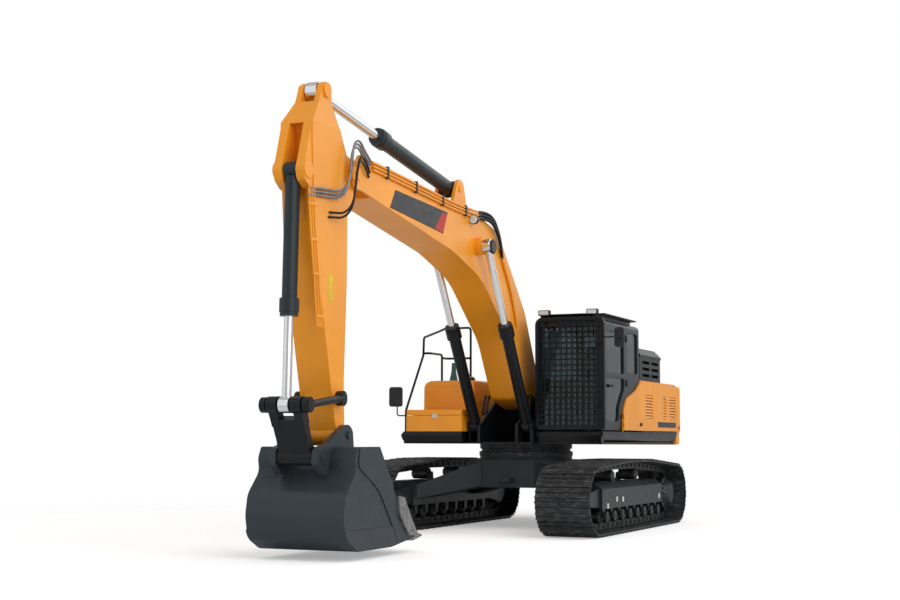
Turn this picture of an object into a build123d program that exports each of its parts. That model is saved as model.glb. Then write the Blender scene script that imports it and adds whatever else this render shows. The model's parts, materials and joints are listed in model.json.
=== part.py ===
from build123d import *
import math
import os

# Crawler excavator, millimetres.  +X is forward, +Y is the machine's left (cab side), +Z is up.
# Everything is drawn about the slew axis (x = y = 0, ground at z = 0) and is moved along X at the end,
# so that the origin stands under the middle of the whole machine.

# ---- undercarriage ----
GAUGE = 2850.0              # between the centre planes of the two tracks
SHOE_WIDTH = 765.0
SHOE_PLATE = 12.0
GROUSER = 30.0              # height of a grouser over its shoe plate
SHOE_PITCH = 216.0
CHAIN_DEPTH = 110.0         # link height from shoe plate to roller path
RAIL_INNER, RAIL_OUTER = 40.0, 105.0   # the two link rails, measured from the track's centre plane
IDLER_X, IDLER_R = 1995.0, 433.0       # centre, and radius of the shoe plate's seat round it
SPROCKET_X, SPROCKET_R = -2005.0, 423.0
CARRIER_X = (650.0, -490.0)
CARRIER_TOP = 978.0         # height of the shoe seat over the carrier rollers
CARRIER_BEND = 200.0        # bend radius of the track there
CARRIER_R = 80.0
ROLLER_COUNT, ROLLER_SPAN = 8, 2560.0
ROLLER_R, ROLLER_FLANGE_R = 85.0, 104.0
TEETH = 21
FRAME_HALF = 225.0          # side frame, half width
FRAME_LOW, FRAME_SHOULDER, FRAME_TOP = 348.0, 620.0, 700.0
FRAME_FRONT, FRAME_REAR = 1420.0, -1560.0
RING_R, RING_BORE = 700.0, 560.0
RING_BASE, DECK_LOW = 1055.0, 1233.0
END_CLEAR = 2.0             # least clearance of the shoes just past the track's ground run
SEAT = 0.3                  # gap between parts that sit on each other

# ---- revolving frame ----
DECK_PLATE = 24.0
SKIRT_TOP = 1410.0          # top of the deck's edge beams, where tanks and panels stand
SKIRT_OUT = 1500.0
DECK_HALF = 1425.0          # side of the tanks and the tool box
DECK_FRONT, DECK_REAR = 1250.0, -3060.0
GIRDER_IN, GIRDER_OUT = 270.0, 310.0
GIRDER_REAR_TOP = 1345.0
SLOT_HALF = 515.0           # half width of the open bay for the boom and its cylinders
EAR_Y = 458.0               # inner face of the outer ear at a boom cylinder's base

# ---- front linkage pins, (x, z) as parked ----
FOOT = (200.0, 1890.0)             # boom foot
BOOM_BASE = (1000.0, 1490.0)       # boom cylinder base
BOOM_ROD = (2505.0, 3900.0)        # boom cylinder rod eye on the boom
ARM_PIVOT = (6055.0, 4290.0)
ARM_BASE = (2860.0, 4640.0)        # arm cylinder base on the boom
ARM_ROD = (6590.0, 5155.0)         # arm cylinder rod eye on the arm
BUCKET_BASE = (7050.0, 4190.0)     # bucket cylinder base on the arm
ROCKER = (6385.0, 1740.0)          # rocker arms on the arm
CROSS = (7125.0, 1655.0)           # rocker, link and cylinder rod meet
LINK_END = (6870.0, 1100.0)        # H-link on the bucket
BUCKET_PIN = (6280.0, 1340.0)

PIN_FIT = 0.05              # radial clearance of a pin in its bore
SIDE_GAP = 8.0              # side clearance between linked pieces
CYLINDER_Y = 400.0          # boom cylinders, centre planes

# ---- boom and arm ----
BOOM_HALF = 250.0
ARM_EYE_HALF = 102.0        # half width of the arm cylinder's base eye
ARM_HALF = 200.0
NOSE_IN = ARM_HALF + 22.0   # inner faces of the boom's fork round the arm
NOSE_OUT = max(BOOM_HALF, NOSE_IN + 28.0)
EYE_OUT = ARM_HALF + 12.0   # ends of the bosses at the arm's lower pins

# ---- bucket ----
BUCKET_HALF = 600.0
BUCKET_PLATE = 30.0

# ---- cab ----
CAB_REAR, CAB_FRONT = -1000.0, 870.0
CAB_RIGHT, CAB_LEFT = 512.0, SKIRT_OUT - 30.0
CAB_LOW, CAB_TOP = 1432.0, 3020.0
CAB_WALL = 50.0
DOOR_GAP = 6.0
GLASS = 6.0

# ---- body panels ----
BAY_FRONT = -1030.0         # bulkhead between the cab and the engine bay
HOOD_FRONT = -1352.0        # front edge of the bonnet
PANEL_OUT = SKIRT_OUT
PANEL_WALL = 25.0
BAND_TOP = 1424.0           # top of the dark lower band on the left and round the tail
HOOD_TOP = 2200.0           # top of the body panels; the bonnet stands on it
HOOD_HALF = 540.0
TAIL = -3600.0


# ---------------------------------------------------------------- shape helpers

PLACES = {
    "x": (Vector(1, 0, 0), lambda u, v, w: Vector(w, u, v)),
    "y": (Vector(0, 1, 0), lambda u, v, w: Vector(u, w, v)),
    "z": (Vector(0, 0, 1), lambda u, v, w: Vector(u, v, w)),
}


def outline(rows, axis, level):
    """Face across an axis, from rows of (u, v) or (u, v, corner radius)."""
    place = PLACES[axis][1]
    corners = [Vector(row[0], row[1]) for row in rows]
    radii = [row[2] if len(row) > 2 else 0.0 for row in rows]
    ends = []
    for index, corner in enumerate(corners):
        before = (corners[index - 1] - corner).normalized()
        after = (corners[(index + 1) % len(corners)] - corner).normalized()
        if radii[index] == 0.0 or before.get_angle(after) > 179.5:
            ends.append((corner, None, corner))
            continue
        half = math.radians(before.get_angle(after)) / 2
        reach = radii[index] / math.tan(half)
        middle = corner + (before + after).normalized() * (radii[index] / math.sin(half) - radii[index])
        ends.append((corner + before * reach, middle, corner + after * reach))
    edges = []
    for index, (start, middle, end) in enumerate(ends):
        if middle is not None:
            points = [place(p.X, p.Y, level) for p in (start, middle, end)]
            edges.append(ThreePointArc(*points))
        following = ends[(index + 1) % len(ends)][0]
        if (following - end).length > 1e-6:
            edges.append(Line(place(end.X, end.Y, level), place(following.X, following.Y, level)))
    return Face(Wire(edges))


def prism(rows, axis, low, high):
    """Straight extrusion of an outline along an axis, from low to high."""
    return Part() + extrude(outline(rows, axis, low), amount=high - low, dir=PLACES[axis][0])


def box(x, y, z):
    """Box from three (low, high) pairs."""
    return prism([(x[0], y[0]), (x[1], y[0]), (x[1], y[1]), (x[0], y[1])], "z", z[0], z[1])


def bar(start, end, radius):
    """Round bar between two points."""
    start, end = Vector(*start), Vector(*end)
    plane = Plane(origin=start, z_dir=end - start)
    return plane * Cylinder(radius, (end - start).length, align=(Align.CENTER, Align.CENTER, Align.MIN))


def pin(place, radius, low, high):
    """Round bar across the machine at an (x, z) place, from y = low to y = high."""
    return bar((place[0], low, place[1]), (place[0], high, place[1]), radius)


def facing(side, near, far):
    """Crosswise range (low, high) between two distances from the middle, on one side."""
    return tuple(sorted((side * near, side * far)))


KNUCKLE_R, KNUCKLE = 12.0, 100.0       # hinge barrels: radius, and length of a fixed and moving pair


def knuckles(place, axis, starts, fixed_leaf, moving_leaf):
    """Hinge barrels on one axis, as [fixed shape, moving shape]; a leaf is its (u, v) ranges."""
    halves = []
    for (u, v), first in ((fixed_leaf, 0.0), (moving_leaf, KNUCKLE / 2 + SEAT)):
        shape = Part()
        for start in starts:
            low, high = start + first, start + first + KNUCKLE / 2
            rows = [(u[0], v[0]), (u[1], v[0]), (u[1], v[1]), (u[0], v[1])]
            ends = [PLACES[axis][1](*place, level) for level in (low, high)]
            shape += prism(rows, axis, low, high)
            shape += bar(*ends, KNUCKLE_R)
        halves.append(shape)
    return halves


def along(start, end, distance, offset=0.0):
    """Point in (x, z) at a distance from start towards end, set off to its left."""
    dx, dz = end[0] - start[0], end[1] - start[1]
    length = math.hypot(dx, dz)
    ux, uz = dx / length, dz / length
    return (start[0] + ux * distance - uz * offset, start[1] + uz * distance + ux * offset)


def turned(place, y, rows):
    """Solid of revolution about the crosswise axis at (x, z); rows are (distance from y, radius)."""
    points = [Vector(place[0], y + across, place[1] + radius) for across, radius in rows]
    face = Face(Wire.make_polygon(points, close=True))
    axis = Axis((place[0], y, place[1]), (0, 1, 0))
    return Part() + revolve(face, axis=axis)


# ---------------------------------------------------------------- tracks

def belt_circles(inset):
    """The circles the track bends round, clockwise seen from the left, shrunk by inset."""
    seat = SHOE_PLATE + GROUSER
    circles = [(SPROCKET_X, SPROCKET_R + seat, SPROCKET_R)]
    for x in reversed(CARRIER_X):
        circles.append((x, CARRIER_TOP - CARRIER_BEND, CARRIER_BEND))
    circles.append((IDLER_X, IDLER_R + seat, IDLER_R))
    return [(x, z, radius - inset) for x, z, radius in circles]


def belt_runs(inset):
    """Straight runs of the loop as (start, end, unit normal) and the circle each one ends on."""
    circles = belt_circles(inset)
    runs = []
    for index, (x1, z1, r1) in enumerate(circles):
        x2, z2, r2 = circles[(index + 1) % len(circles)]
        span = math.hypot(x2 - x1, z2 - z1)
        heading = math.atan2(z2 - z1, x2 - x1)
        normal = heading + math.pi / 2 - math.asin((r2 - r1) / span) * -1
        nx, nz = math.cos(normal), math.sin(normal)
        runs.append(((x1 + nx * r1, z1 + nz * r1), (x2 + nx * r2, z2 + nz * r2), normal))
    return runs, circles


def belt_walk(inset):
    """The loop as segments (length, function from distance to point and outward angle)."""
    runs, circles = belt_runs(inset)
    segments = []
    for index, (start, end, normal) in enumerate(runs):
        length = math.dist(start, end)

        def straight(s, start=start, end=end, normal=normal, length=length):
            t = s / length
            return (start[0] + (end[0] - start[0]) * t, start[1] + (end[1] - start[1]) * t, normal)

        segments.append((length, straight))
        x, z, radius = circles[(index + 1) % len(circles)]
        next_normal = runs[(index + 1) % len(runs)][2]
        sweep = (normal - next_normal) % (2 * math.pi)

        def bend(s, x=x, z=z, radius=radius, normal=normal):
            angle = normal - s / radius
            return (x + radius * math.cos(angle), z + radius * math.sin(angle), angle)

        segments.append((radius * sweep, bend))
    return segments


def belt_point(segments, distance, height):
    """Point at a distance along the loop, set outwards by height."""
    for length, function in segments:
        if distance <= length:
            x, z, angle = function(distance)
            return (x + height * math.cos(angle), z + height * math.sin(angle))
        distance -= length
    return belt_point(segments, distance, height)


def belt_wire(inset, y):
    """Smooth closed wire of the loop."""
    edges = []
    runs, circles = belt_runs(inset)
    for index, (start, end, normal) in enumerate(runs):
        edges.append(Line((start[0], y, start[1]), (end[0], y, end[1])))
        x, z, radius = circles[(index + 1) % len(circles)]
        after = runs[(index + 1) % len(runs)]
        half = ((normal - after[2]) % (2 * math.pi)) / 2
        middle = (x + radius * math.cos(normal - half), y, z + radius * math.sin(normal - half))
        edges.append(ThreePointArc((end[0], y, end[1]), middle, (after[0][0], y, after[0][1])))
    return Wire(edges)


SHOE_SINK = 18.0            # how far a flat shoe's middle reaches inside the loop where it bends

# One shoe's outer face: (share of the pitch from its leading edge, height over the chain's seat).
SHOE_PROFILE = (
    (0.00, 4.0), (0.04, SHOE_PLATE), (0.08, SHOE_PLATE + GROUSER), (0.14, SHOE_PLATE + GROUSER),
    (0.26, SHOE_PLATE), (0.42, SHOE_PLATE + GROUSER), (0.48, SHOE_PLATE + GROUSER), (0.62, SHOE_PLATE),
    (0.78, SHOE_PLATE + GROUSER), (0.84, SHOE_PLATE + GROUSER), (0.92, SHOE_PLATE),
)


def make_track(centre):
    """Closed loop of flat triple-grouser shoes, each turned with its own link, on two link rails."""
    segments = belt_walk(0.0)
    total = sum(length for length, _ in segments)
    count = round(total / SHOE_PITCH)
    pitch = total / count
    low = centre - SHOE_WIDTH / 2
    points = []
    for shoe in range(count):
        start = Vector(*belt_point(segments, shoe * pitch, 0.0))
        run = Vector(*belt_point(segments, (shoe + 1) * pitch, 0.0)) - start
        outward = Vector(-run.Y, run.X).normalized()
        for share, height in SHOE_PROFILE:
            place = start + run * share + outward * height
            lifted = END_CLEAR if 0.01 < place.Y < END_CLEAR else place.Y
            points.append(Vector(place.X, low, lifted))
    shoes = Face(Wire.make_polygon(points, close=True), [belt_wire(SHOE_SINK, low)])
    track = Part() + extrude(shoes, amount=SHOE_WIDTH, dir=(0, 1, 0))
    for side in (-1, 1):
        start = centre + facing(side, RAIL_INNER, RAIL_OUTER)[0]
        rail = Face(belt_wire(SHOE_SINK / 2, start), [belt_wire(CHAIN_DEPTH, start)])
        track += extrude(rail, amount=RAIL_OUTER - RAIL_INNER, dir=(0, 1, 0))
    return track


def wheel_height(radius):
    """Height of the centre of an end wheel whose shoe seat has this radius."""
    return radius + SHOE_PLATE + GROUSER


def make_idler(centre):
    """Front idler: rim, dished web and hub."""
    rim = IDLER_R - CHAIN_DEPTH - SEAT
    rows = [(-140, 30), (-140, 95), (-40, 120), (-40, 240), (-95, 262), (-95, rim), (95, rim),
            (95, 262), (40, 240), (40, 120), (140, 95), (140, 30)]
    return turned((IDLER_X, wheel_height(IDLER_R)), centre, rows)


def make_sprocket(centre, side):
    """Toothed drive ring on its final drive drum and cover."""
    place = (SPROCKET_X, wheel_height(SPROCKET_R))
    root, tip = SPROCKET_R - CHAIN_DEPTH - 15, SPROCKET_R - 45
    points = []
    for tooth in range(TEETH):
        for share, radius in ((0.0, root), (0.22, root), (0.42, tip), (0.60, tip), (0.80, root)):
            angle = 2 * math.pi * (tooth + share) / TEETH
            points.append((place[0] + radius * math.cos(angle), place[1] + radius * math.sin(angle)))
    ring = prism(points, "y", centre - 32, centre + 32)
    drum = turned(place, centre, [(side * row[0], row[1]) for row in (
        (-160, 0), (-160, 215), (40, 215), (60, 240), (150, 240), (170, 200), (255, 150), (255, 0))])
    return ring + drum


def roller_places():
    """Centres of the bottom rollers, (x, z)."""
    z = SHOE_PLATE + GROUSER + CHAIN_DEPTH + ROLLER_R + SEAT
    step = ROLLER_SPAN / (ROLLER_COUNT - 1)
    return [(-ROLLER_SPAN / 2 - 60 + index * step, z) for index in range(ROLLER_COUNT)]


def carrier_places():
    """Centres of the carrier rollers, (x, z)."""
    return [(x, CARRIER_TOP - CHAIN_DEPTH - CARRIER_R - SEAT) for x in CARRIER_X]


COLLAR = 150.0              # where the roller shafts are held, from the track's centre plane


def make_rollers(centre, side):
    """Bottom rollers with twin flanges, and the plain carrier rollers above the frame."""
    rollers = []
    for place in roller_places():
        rows = [(-COLLAR + SEAT, 0), (-COLLAR + SEAT, 60), (-RAIL_OUTER - 22, ROLLER_FLANGE_R),
                (-RAIL_OUTER - 4, ROLLER_FLANGE_R), (-RAIL_OUTER - 4, ROLLER_R), (RAIL_OUTER + 4, ROLLER_R),
                (RAIL_OUTER + 4, ROLLER_FLANGE_R), (RAIL_OUTER + 22, ROLLER_FLANGE_R),
                (COLLAR - SEAT, 60), (COLLAR - SEAT, 0)]
        rollers.append(turned(place, centre, rows))
    for place in carrier_places():
        rows = [(side * row[0], row[1]) for row in (
            (-RAIL_OUTER - 20 + SEAT, 0), (-RAIL_OUTER - 20 + SEAT, CARRIER_R), (RAIL_OUTER + 20, CARRIER_R),
            (RAIL_OUTER + 40, 55), (RAIL_OUTER + 40, 0))]
        rollers.append(turned(place, centre, rows))
    return rollers


def make_track_frame(centre, side):
    """Side frame: sloped box girder, roller collars, idler yoke, carrier posts and motor bracket."""
    low, high = centre - FRAME_HALF, centre + FRAME_HALF
    inner, outer = centre - side * FRAME_HALF, centre + side * FRAME_HALF
    frame = prism([(low, FRAME_LOW), (high, FRAME_LOW), (high, FRAME_SHOULDER), (centre + 120, FRAME_TOP),
                   (centre - 120, FRAME_TOP), (low, FRAME_SHOULDER)], "x", FRAME_REAR, FRAME_FRONT)
    hub = wheel_height(IDLER_R)
    for offset in (-185, 145):
        y = centre + offset
        frame += prism([(FRAME_FRONT - 60, FRAME_LOW + 20), (IDLER_X + 60, hub - 70, 40),
                        (IDLER_X + 90, hub, 20), (IDLER_X + 60, hub + 70, 40),
                        (FRAME_FRONT - 60, FRAME_SHOULDER + 20)], "y", y, y + 40)
    frame += pin((IDLER_X, hub), 30 - SEAT, centre - 165, centre + 165)
    drive = wheel_height(SPROCKET_R)
    near = centre - side * (160 + SEAT)
    frame += prism([(FRAME_REAR + 40, FRAME_LOW), (SPROCKET_X, drive - 200, 150),
                    (SPROCKET_X - 190, drive, 150),
                    (SPROCKET_X, drive + 200, 150), (FRAME_REAR + 40, FRAME_SHOULDER + 60)],
                   "y", min(near, inner), max(near, inner))
    for x, z in roller_places():
        for offset in (-COLLAR - 30, COLLAR):
            frame += prism([(x - 55, FRAME_LOW + 5), (x - 40, z - 20, 20), (x + 40, z - 20, 20),
                            (x + 55, FRAME_LOW + 5)], "y", centre + offset, centre + offset + 30)
    for x, z in carrier_places():
        y = centre - side * (RAIL_OUTER + 20)
        frame += prism([(x - 60, FRAME_TOP - 90), (x - 45, z + 30, 30), (x + 45, z + 30, 30),
                        (x + 60, FRAME_TOP - 90)], "y", min(y, y - side * 45), max(y, y - side * 45))
    return frame


TOW_X, TOW_R, TOW_EYE = 840.0, 38.0, (690.0, 740.0)    # towing eyes, with upright holes


def make_carbody():
    """X-shaped centre frame with four tapering legs and the slewing ring's seat."""
    inner = GAUGE / 2 - FRAME_HALF
    body = prism([(-760, -420, 60), (-420, -760, 60), (420, -760, 60), (760, -420, 60),
                  (760, 420, 60), (420, 760, 60), (-420, 760, 60), (-760, 420, 60)], "z", 600, 1000)
    for along_x in (-1, 1):
        for side in (-1, 1):
            root = [(along_x * 80, 620), (along_x * 740, 620), (along_x * 740, 990), (along_x * 80, 990)]
            tip = [(along_x * 760, 440), (along_x * 1300, 440), (along_x * 1300, 640), (along_x * 760, 640)]
            faces = [outline(root, "y", side * 400), outline(tip, "y", side * (inner - SEAT))]
            body += loft(faces, ruled=True)
    body += Pos(0, 0, 990) * Cylinder(690, RING_BASE - 990, align=(Align.CENTER, Align.CENTER, Align.MIN))
    body -= Pos(0, 0, 500) * Cylinder(250, 700, align=(Align.CENTER, Align.CENTER, Align.MIN))
    for end in (-1, 1):
        body += prism([(end * 740, -110), (end * 925, -80, 70), (end * 925, 80, 70), (end * 740, 110)],
                      "z", *TOW_EYE)
        body -= bar((end * TOW_X, 0, 600), (end * TOW_X, 0, 850), TOW_R)
    return body


def make_slewing_ring():
    """Bolted bearing ring between the carbody and the deck."""
    rows = [(RING_BORE, RING_BASE), (RING_R, RING_BASE), (RING_R, RING_BASE + 62),
            (RING_R - 35, RING_BASE + 70),
            (RING_R - 35, RING_BASE + 100), (RING_R - 10, RING_BASE + 108), (RING_R - 10, DECK_LOW - SEAT),
            (RING_BORE, DECK_LOW - SEAT)]
    face = Face(Wire.make_polygon([Vector(r, 0, z) for r, z in rows], close=True))
    return Part() + revolve(face, axis=Axis.Z)


# ---------------------------------------------------------------- revolving frame and body

def make_revolving_frame():
    """Deck plate, twin boom girders, cylinder brackets and edge beams."""
    deck = prism([(DECK_FRONT - 20, -DECK_HALF + 20, 40), (DECK_FRONT - 20, -SLOT_HALF),
                  (1090, -SLOT_HALF, 30),
                  (1090, SLOT_HALF, 30), (CAB_FRONT + 60, SLOT_HALF), (CAB_FRONT + 60, DECK_HALF + 20, 60),
                  (DECK_REAR, DECK_HALF + 20), (DECK_REAR, -DECK_HALF)], "z", DECK_LOW,
                 DECK_LOW + DECK_PLATE)
    top = DECK_LOW + DECK_PLATE
    for side in (-1, 1):
        low, high = facing(side, GIRDER_IN, GIRDER_OUT)
        girder = prism([(DECK_REAR + 60, top - 5), (1150, top - 5), (1150, 1500, 60), (860, 1640, 80),
                        (FOOT[0] + 170, FOOT[1] + 60, 120), (FOOT[0], FOOT[1] + 205, 110),
                        (FOOT[0] - 190, FOOT[1] + 90, 120), (-900, 1640, 300), (-1400, GIRDER_REAR_TOP, 100),
                        (DECK_REAR + 60, GIRDER_REAR_TOP)], "y", low, high)
        girder += pin(FOOT, 135, *facing(side, GIRDER_IN, GIRDER_OUT + 22))
        deck += girder
        ear = facing(side, EAR_Y, EAR_Y + 40)
        deck += prism([(BOOM_BASE[0] - 70, top - 5), (BOOM_BASE[0] + 40, top - 5),
                       (BOOM_BASE[0] + 50, BOOM_BASE[1] - 50), (BOOM_BASE[0] - 64, BOOM_BASE[1] - 10)],
                      "y", *ear)
        deck += pin(BOOM_BASE, 70, *ear)
        deck += pin(BOOM_BASE, 45, *facing(side, GIRDER_IN, EAR_Y + 48))
    deck += pin(FOOT, 55, -GIRDER_OUT - 30, GIRDER_OUT + 30)
    beams = []
    for side, front, peak in ((-1, DECK_FRONT - 30, SKIRT_TOP), (1, CAB_FRONT + 40, BAND_TOP)):
        rows = [(side * (SKIRT_OUT - 125), DECK_LOW), (side * (SKIRT_OUT - 30), DECK_LOW + 50, 30),
                (side * SKIRT_OUT, peak - 50, 15), (side * (SKIRT_OUT - (50 if side < 0 else 2)), peak, 4),
                (side * (SKIRT_OUT - 180), peak), (side * (SKIRT_OUT - 180), DECK_LOW)]
        if side > 0:
            beams.append(prism([row if row[1] < peak else (row[0], SKIRT_TOP, *row[2:]) for row in rows],
                               "x",
                               BAY_FRONT, front))
            beams.append(prism(rows, "x", DECK_REAR, BAY_FRONT + 5))
        else:
            beams.append(prism(rows, "x", DECK_REAR, front))
    beams.append(prism([(DECK_FRONT - 120, DECK_LOW), (DECK_FRONT - 10, DECK_LOW, 20),
                        (DECK_FRONT + 12, SKIRT_TOP - 50, 15),
                        (DECK_FRONT - 5, SKIRT_TOP, 6), (DECK_FRONT - 120, SKIRT_TOP)], "y",
                       -SKIRT_OUT + 60, -SLOT_HALF))
    beams.append(prism([(CAB_FRONT - 70, DECK_LOW), (CAB_FRONT + 40, DECK_LOW, 20),
                        (CAB_FRONT + 80, SKIRT_TOP - 50, 15),
                        (CAB_FRONT + 60, SKIRT_TOP, 6), (CAB_FRONT - 70, SKIRT_TOP)], "y", SLOT_HALF,
                       SKIRT_OUT - 20))
    for y in ((-DECK_HALF + 60, -GIRDER_OUT + 5), (GIRDER_OUT - 5, DECK_HALF - 30)):
        beams.append(box((-1150, -1050), y, (top - 5, SKIRT_TOP)))
    return deck + beams


def make_counterweight():
    """Cast tail weight: straight sides, round corners, a stepped-in lower band and an undercut tail."""
    def plan(inset):
        half, tail = SKIRT_OUT - inset, TAIL - 40 + inset
        return [(DECK_REAR - SEAT, -half), (tail + 200, -half, 260), (tail, -half + 700, 900),
                (tail, half - 700, 900), (tail + 200, half, 260), (DECK_REAR - SEAT, half)]

    block = prism(plan(0), "z", BAND_TOP, HOOD_TOP - 20)
    rim = [edge for edge in block.faces().sort_by(Axis.Z)[-1].edges() if edge.center().X < DECK_REAR - 1]
    weight = fillet(rim, 45) + prism(plan(14), "z", 1215, BAND_TOP)
    weight -= prism([(TAIL - 200, 1100), (TAIL + 520, 1100), (TAIL + 420, 1214), (TAIL + 90, 1300, 160),
                     (TAIL - 200, 1400)], "y", -2000, 2000)
    return weight


def make_engine_hood():
    """Flat pressed bonnet over the engine bay, with turned-down edges and its hinge barrels."""
    x, y = (DECK_REAR + 40, HOOD_FRONT), (-HOOD_HALF, HOOD_HALF)
    hood = prism([(x[0], HOOD_TOP + SEAT), (x[1], HOOD_TOP + SEAT), (x[1], HOOD_TOP + 60, 30),
                  (x[0], HOOD_TOP + 60, 30)], "y", *y)
    hood -= box((x[0] + 25, x[1] - 25), (y[0] + 25, y[1] - 25), (HOOD_TOP - 10, HOOD_TOP + 38))
    return hood + hood_hinge()[1]


def hood_hinge():
    """Barrels along the bonnet's front edge, over the deck's cross strip."""
    x, z = HOOD_FRONT + 18, HOOD_TOP + 52
    return knuckles((x, z), "y", (-HOOD_HALF + 80, HOOD_HALF - 180),
                    ((x - 4, x + 10), (HOOD_TOP - 5, z)), ((HOOD_FRONT - 20, x), (z - 10, z + 4)))


def make_left_side_door():
    """Swept side door: low in front under the cab's rear window, full height behind, with louvre panels."""
    rows = [(DOOR_EDGE, BAND_TOP + 8, 20), (DOOR_EDGE - 45, 1740, 90), (-260, 1900, 120), (-740, 2035, 250),
            (-1010, HOOD_TOP - 22, 120), (DECK_REAR + 8, HOOD_TOP - 22, 10),
            (DECK_REAR + 8, BAND_TOP + 8, 10)]
    door = prism(rows, "y", PANEL_OUT - PANEL_WALL, PANEL_OUT)
    for x, width in ((-1445, 400), (-2340, 170), (-2810, 380)):
        wide = (x - width / 2, x + width / 2)
        door -= box(wide, (PANEL_OUT - 60, PANEL_OUT + 20), LOUVRE_Z)
        for row in range(LOUVRES):
            z = LOUVRE_Z[0] + (row + 0.5) * (LOUVRE_Z[1] - LOUVRE_Z[0]) / LOUVRES
            door += prism([(PANEL_OUT - PANEL_WALL, z + 16), (PANEL_OUT - 4, z - 16), (PANEL_OUT - 1, z - 9),
                           (PANEL_OUT - PANEL_WALL + 4, z + 23)], "x", wide[0] - 2, wide[1] + 2)
    return door + side_hinge(1)[1]


LOUVRE_Z, LOUVRES = (1620.0, 1985.0), 8
DOOR_EDGE = -72.0           # front edge of the left side door
PUMP_EDGE = -1346.0         # front edge of the right side door


def side_hinge(side):
    """Vertical barrels at the front edge of a side door, on their post."""
    edge, starts = (DOOR_EDGE, (1440, 1560)) if side > 0 else (PUMP_EDGE, (1500, 1980))
    x, y = edge + 6, side * (PANEL_OUT + KNUCKLE_R + 1)
    fixed = ((x, x + KNUCKLE_R), facing(side, PANEL_OUT - 16, PANEL_OUT + KNUCKLE_R + 2))
    moving = ((x - 40, x), facing(side, PANEL_OUT - 1, PANEL_OUT + 8))
    post, leaf = knuckles((x, y), "z", starts, fixed, moving)
    foot = SKIRT_TOP + SEAT
    post += box((x, x + KNUCKLE_R), facing(side, PANEL_OUT - 16, PANEL_OUT - 2),
                (foot, starts[-1] + KNUCKLE / 2))
    return [post, leaf]


def make_right_side_door():
    """Plain pump compartment door on the right-hand side."""
    rows = [(PUMP_EDGE, SKIRT_TOP + 12, 20), (PUMP_EDGE, HOOD_TOP - 40, 60),
            (DECK_REAR + 8, HOOD_TOP - 22, 10),
            (DECK_REAR + 8, SKIRT_TOP + 12, 10)]
    return prism(rows, "y", -PANEL_OUT, -PANEL_OUT + PANEL_WALL) + side_hinge(-1)[1]


def make_exhaust_cowl():
    """Cowl behind the cab with a chamfered lid and dark louvre slots."""
    base = HOOD_TOP + SEAT
    low, high = HOOD_HALF + 12, 1440
    cowl = prism([(low, base), (high, base), (high, base + 370, 12), (high + 14, base + 374, 6),
                  (high + 14, base + 410, 14), (high - 100, base + 520, 30),
                  (low + 40, base + 520, 30), (low, base + 480, 20)], "x", -2300, -1130)
    for row in range(3):
        z = base + 70 + row * 100
        for column in range(2):
            y = low + 140 + column * 330
            cowl -= box((-1190, -1110), (y, y + 290), (z, z + 45))
            x = -2180 + column * 500
            cowl -= box((x, x + 400), (high - 60, high + 20), (z, z + 45))
    return cowl




def make_bay_frame():
    """Bulkheads and top plate round the engine bay, with the hinge posts of both side doors."""
    edge = PANEL_OUT - PANEL_WALL - SEAT
    top = box((DECK_REAR + 5, BAY_FRONT), (-edge, edge), (HOOD_TOP - 40, HOOD_TOP))
    top -= box((DECK_REAR + 80, HOOD_FRONT - 28), (-HOOD_HALF + 40, HOOD_HALF - 40),
               (HOOD_TOP - 60, HOOD_TOP + 20))
    top -= box((-1325, BAY_FRONT + 20), (-edge - 10, SLOT_HALF), (HOOD_TOP - 60, HOOD_TOP + 20))
    frame = top + box((DECK_REAR + 5, DECK_REAR + 25), (GIRDER_OUT + 10, edge),
                      (BAND_TOP + SEAT, HOOD_TOP - 20))
    frame += box((DECK_REAR + 5, DECK_REAR + 25), (-edge, -GIRDER_OUT - 10),
                 (SKIRT_TOP + SEAT, HOOD_TOP - 20))
    frame += box((BAY_FRONT - 20, BAY_FRONT), (SLOT_HALF, edge), (BAND_TOP + SEAT, HOOD_TOP - 20))
    frame += hood_hinge()[0]
    return [frame, side_hinge(1)[0], side_hinge(-1)[0]]


def make_engine():
    """Engine and cooler pack as one plain block on its mounts."""
    return box((-2450, -1500), (-560, 950), (GIRDER_REAR_TOP + SEAT, 2050))


def make_fuel_tank():
    """Tank behind the tool box, rounded along its outer edge and its front, with a filler neck."""
    side = [(-DECK_HALF + 10, SKIRT_TOP + SEAT, 20), (-DECK_HALF + 10, HOOD_TOP - 25, 120),
            (-SLOT_HALF - 90, HOOD_TOP - 25, 30), (-SLOT_HALF - 90, SKIRT_TOP + SEAT)]
    front = [(600, SKIRT_TOP - 50), (600, SKIRT_TOP + 100), (585, HOOD_TOP - 25, 90), (-445, HOOD_TOP - 25),
             (-445, SKIRT_TOP - 50)]
    tank = prism(side, "x", -445, 600) & prism(front, "y", -DECK_HALF, -SLOT_HALF)
    return tank + Pos(*FILLER, HOOD_TOP - 30) * Cylinder(45, 60,
                                                         align=(Align.CENTER, Align.CENTER, Align.MIN))


FILLER = (420.0, -720.0)    # fuel filler neck


def make_hydraulic_tank():
    """Oil tank between the fuel tank and the pump door."""
    side = [(-DECK_HALF + 10, SKIRT_TOP + SEAT, 20), (-DECK_HALF + 10, HOOD_TOP - 25, 120),
            (-SLOT_HALF - 90, HOOD_TOP - 25, 30), (-SLOT_HALF - 90, SKIRT_TOP + SEAT)]
    return prism(side, "x", -1315, -450)


TOOL_LID = 1640.0
LID_TOP = 1724.0
LID_HINGE = (618.0, LID_TOP - 6.0)


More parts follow.
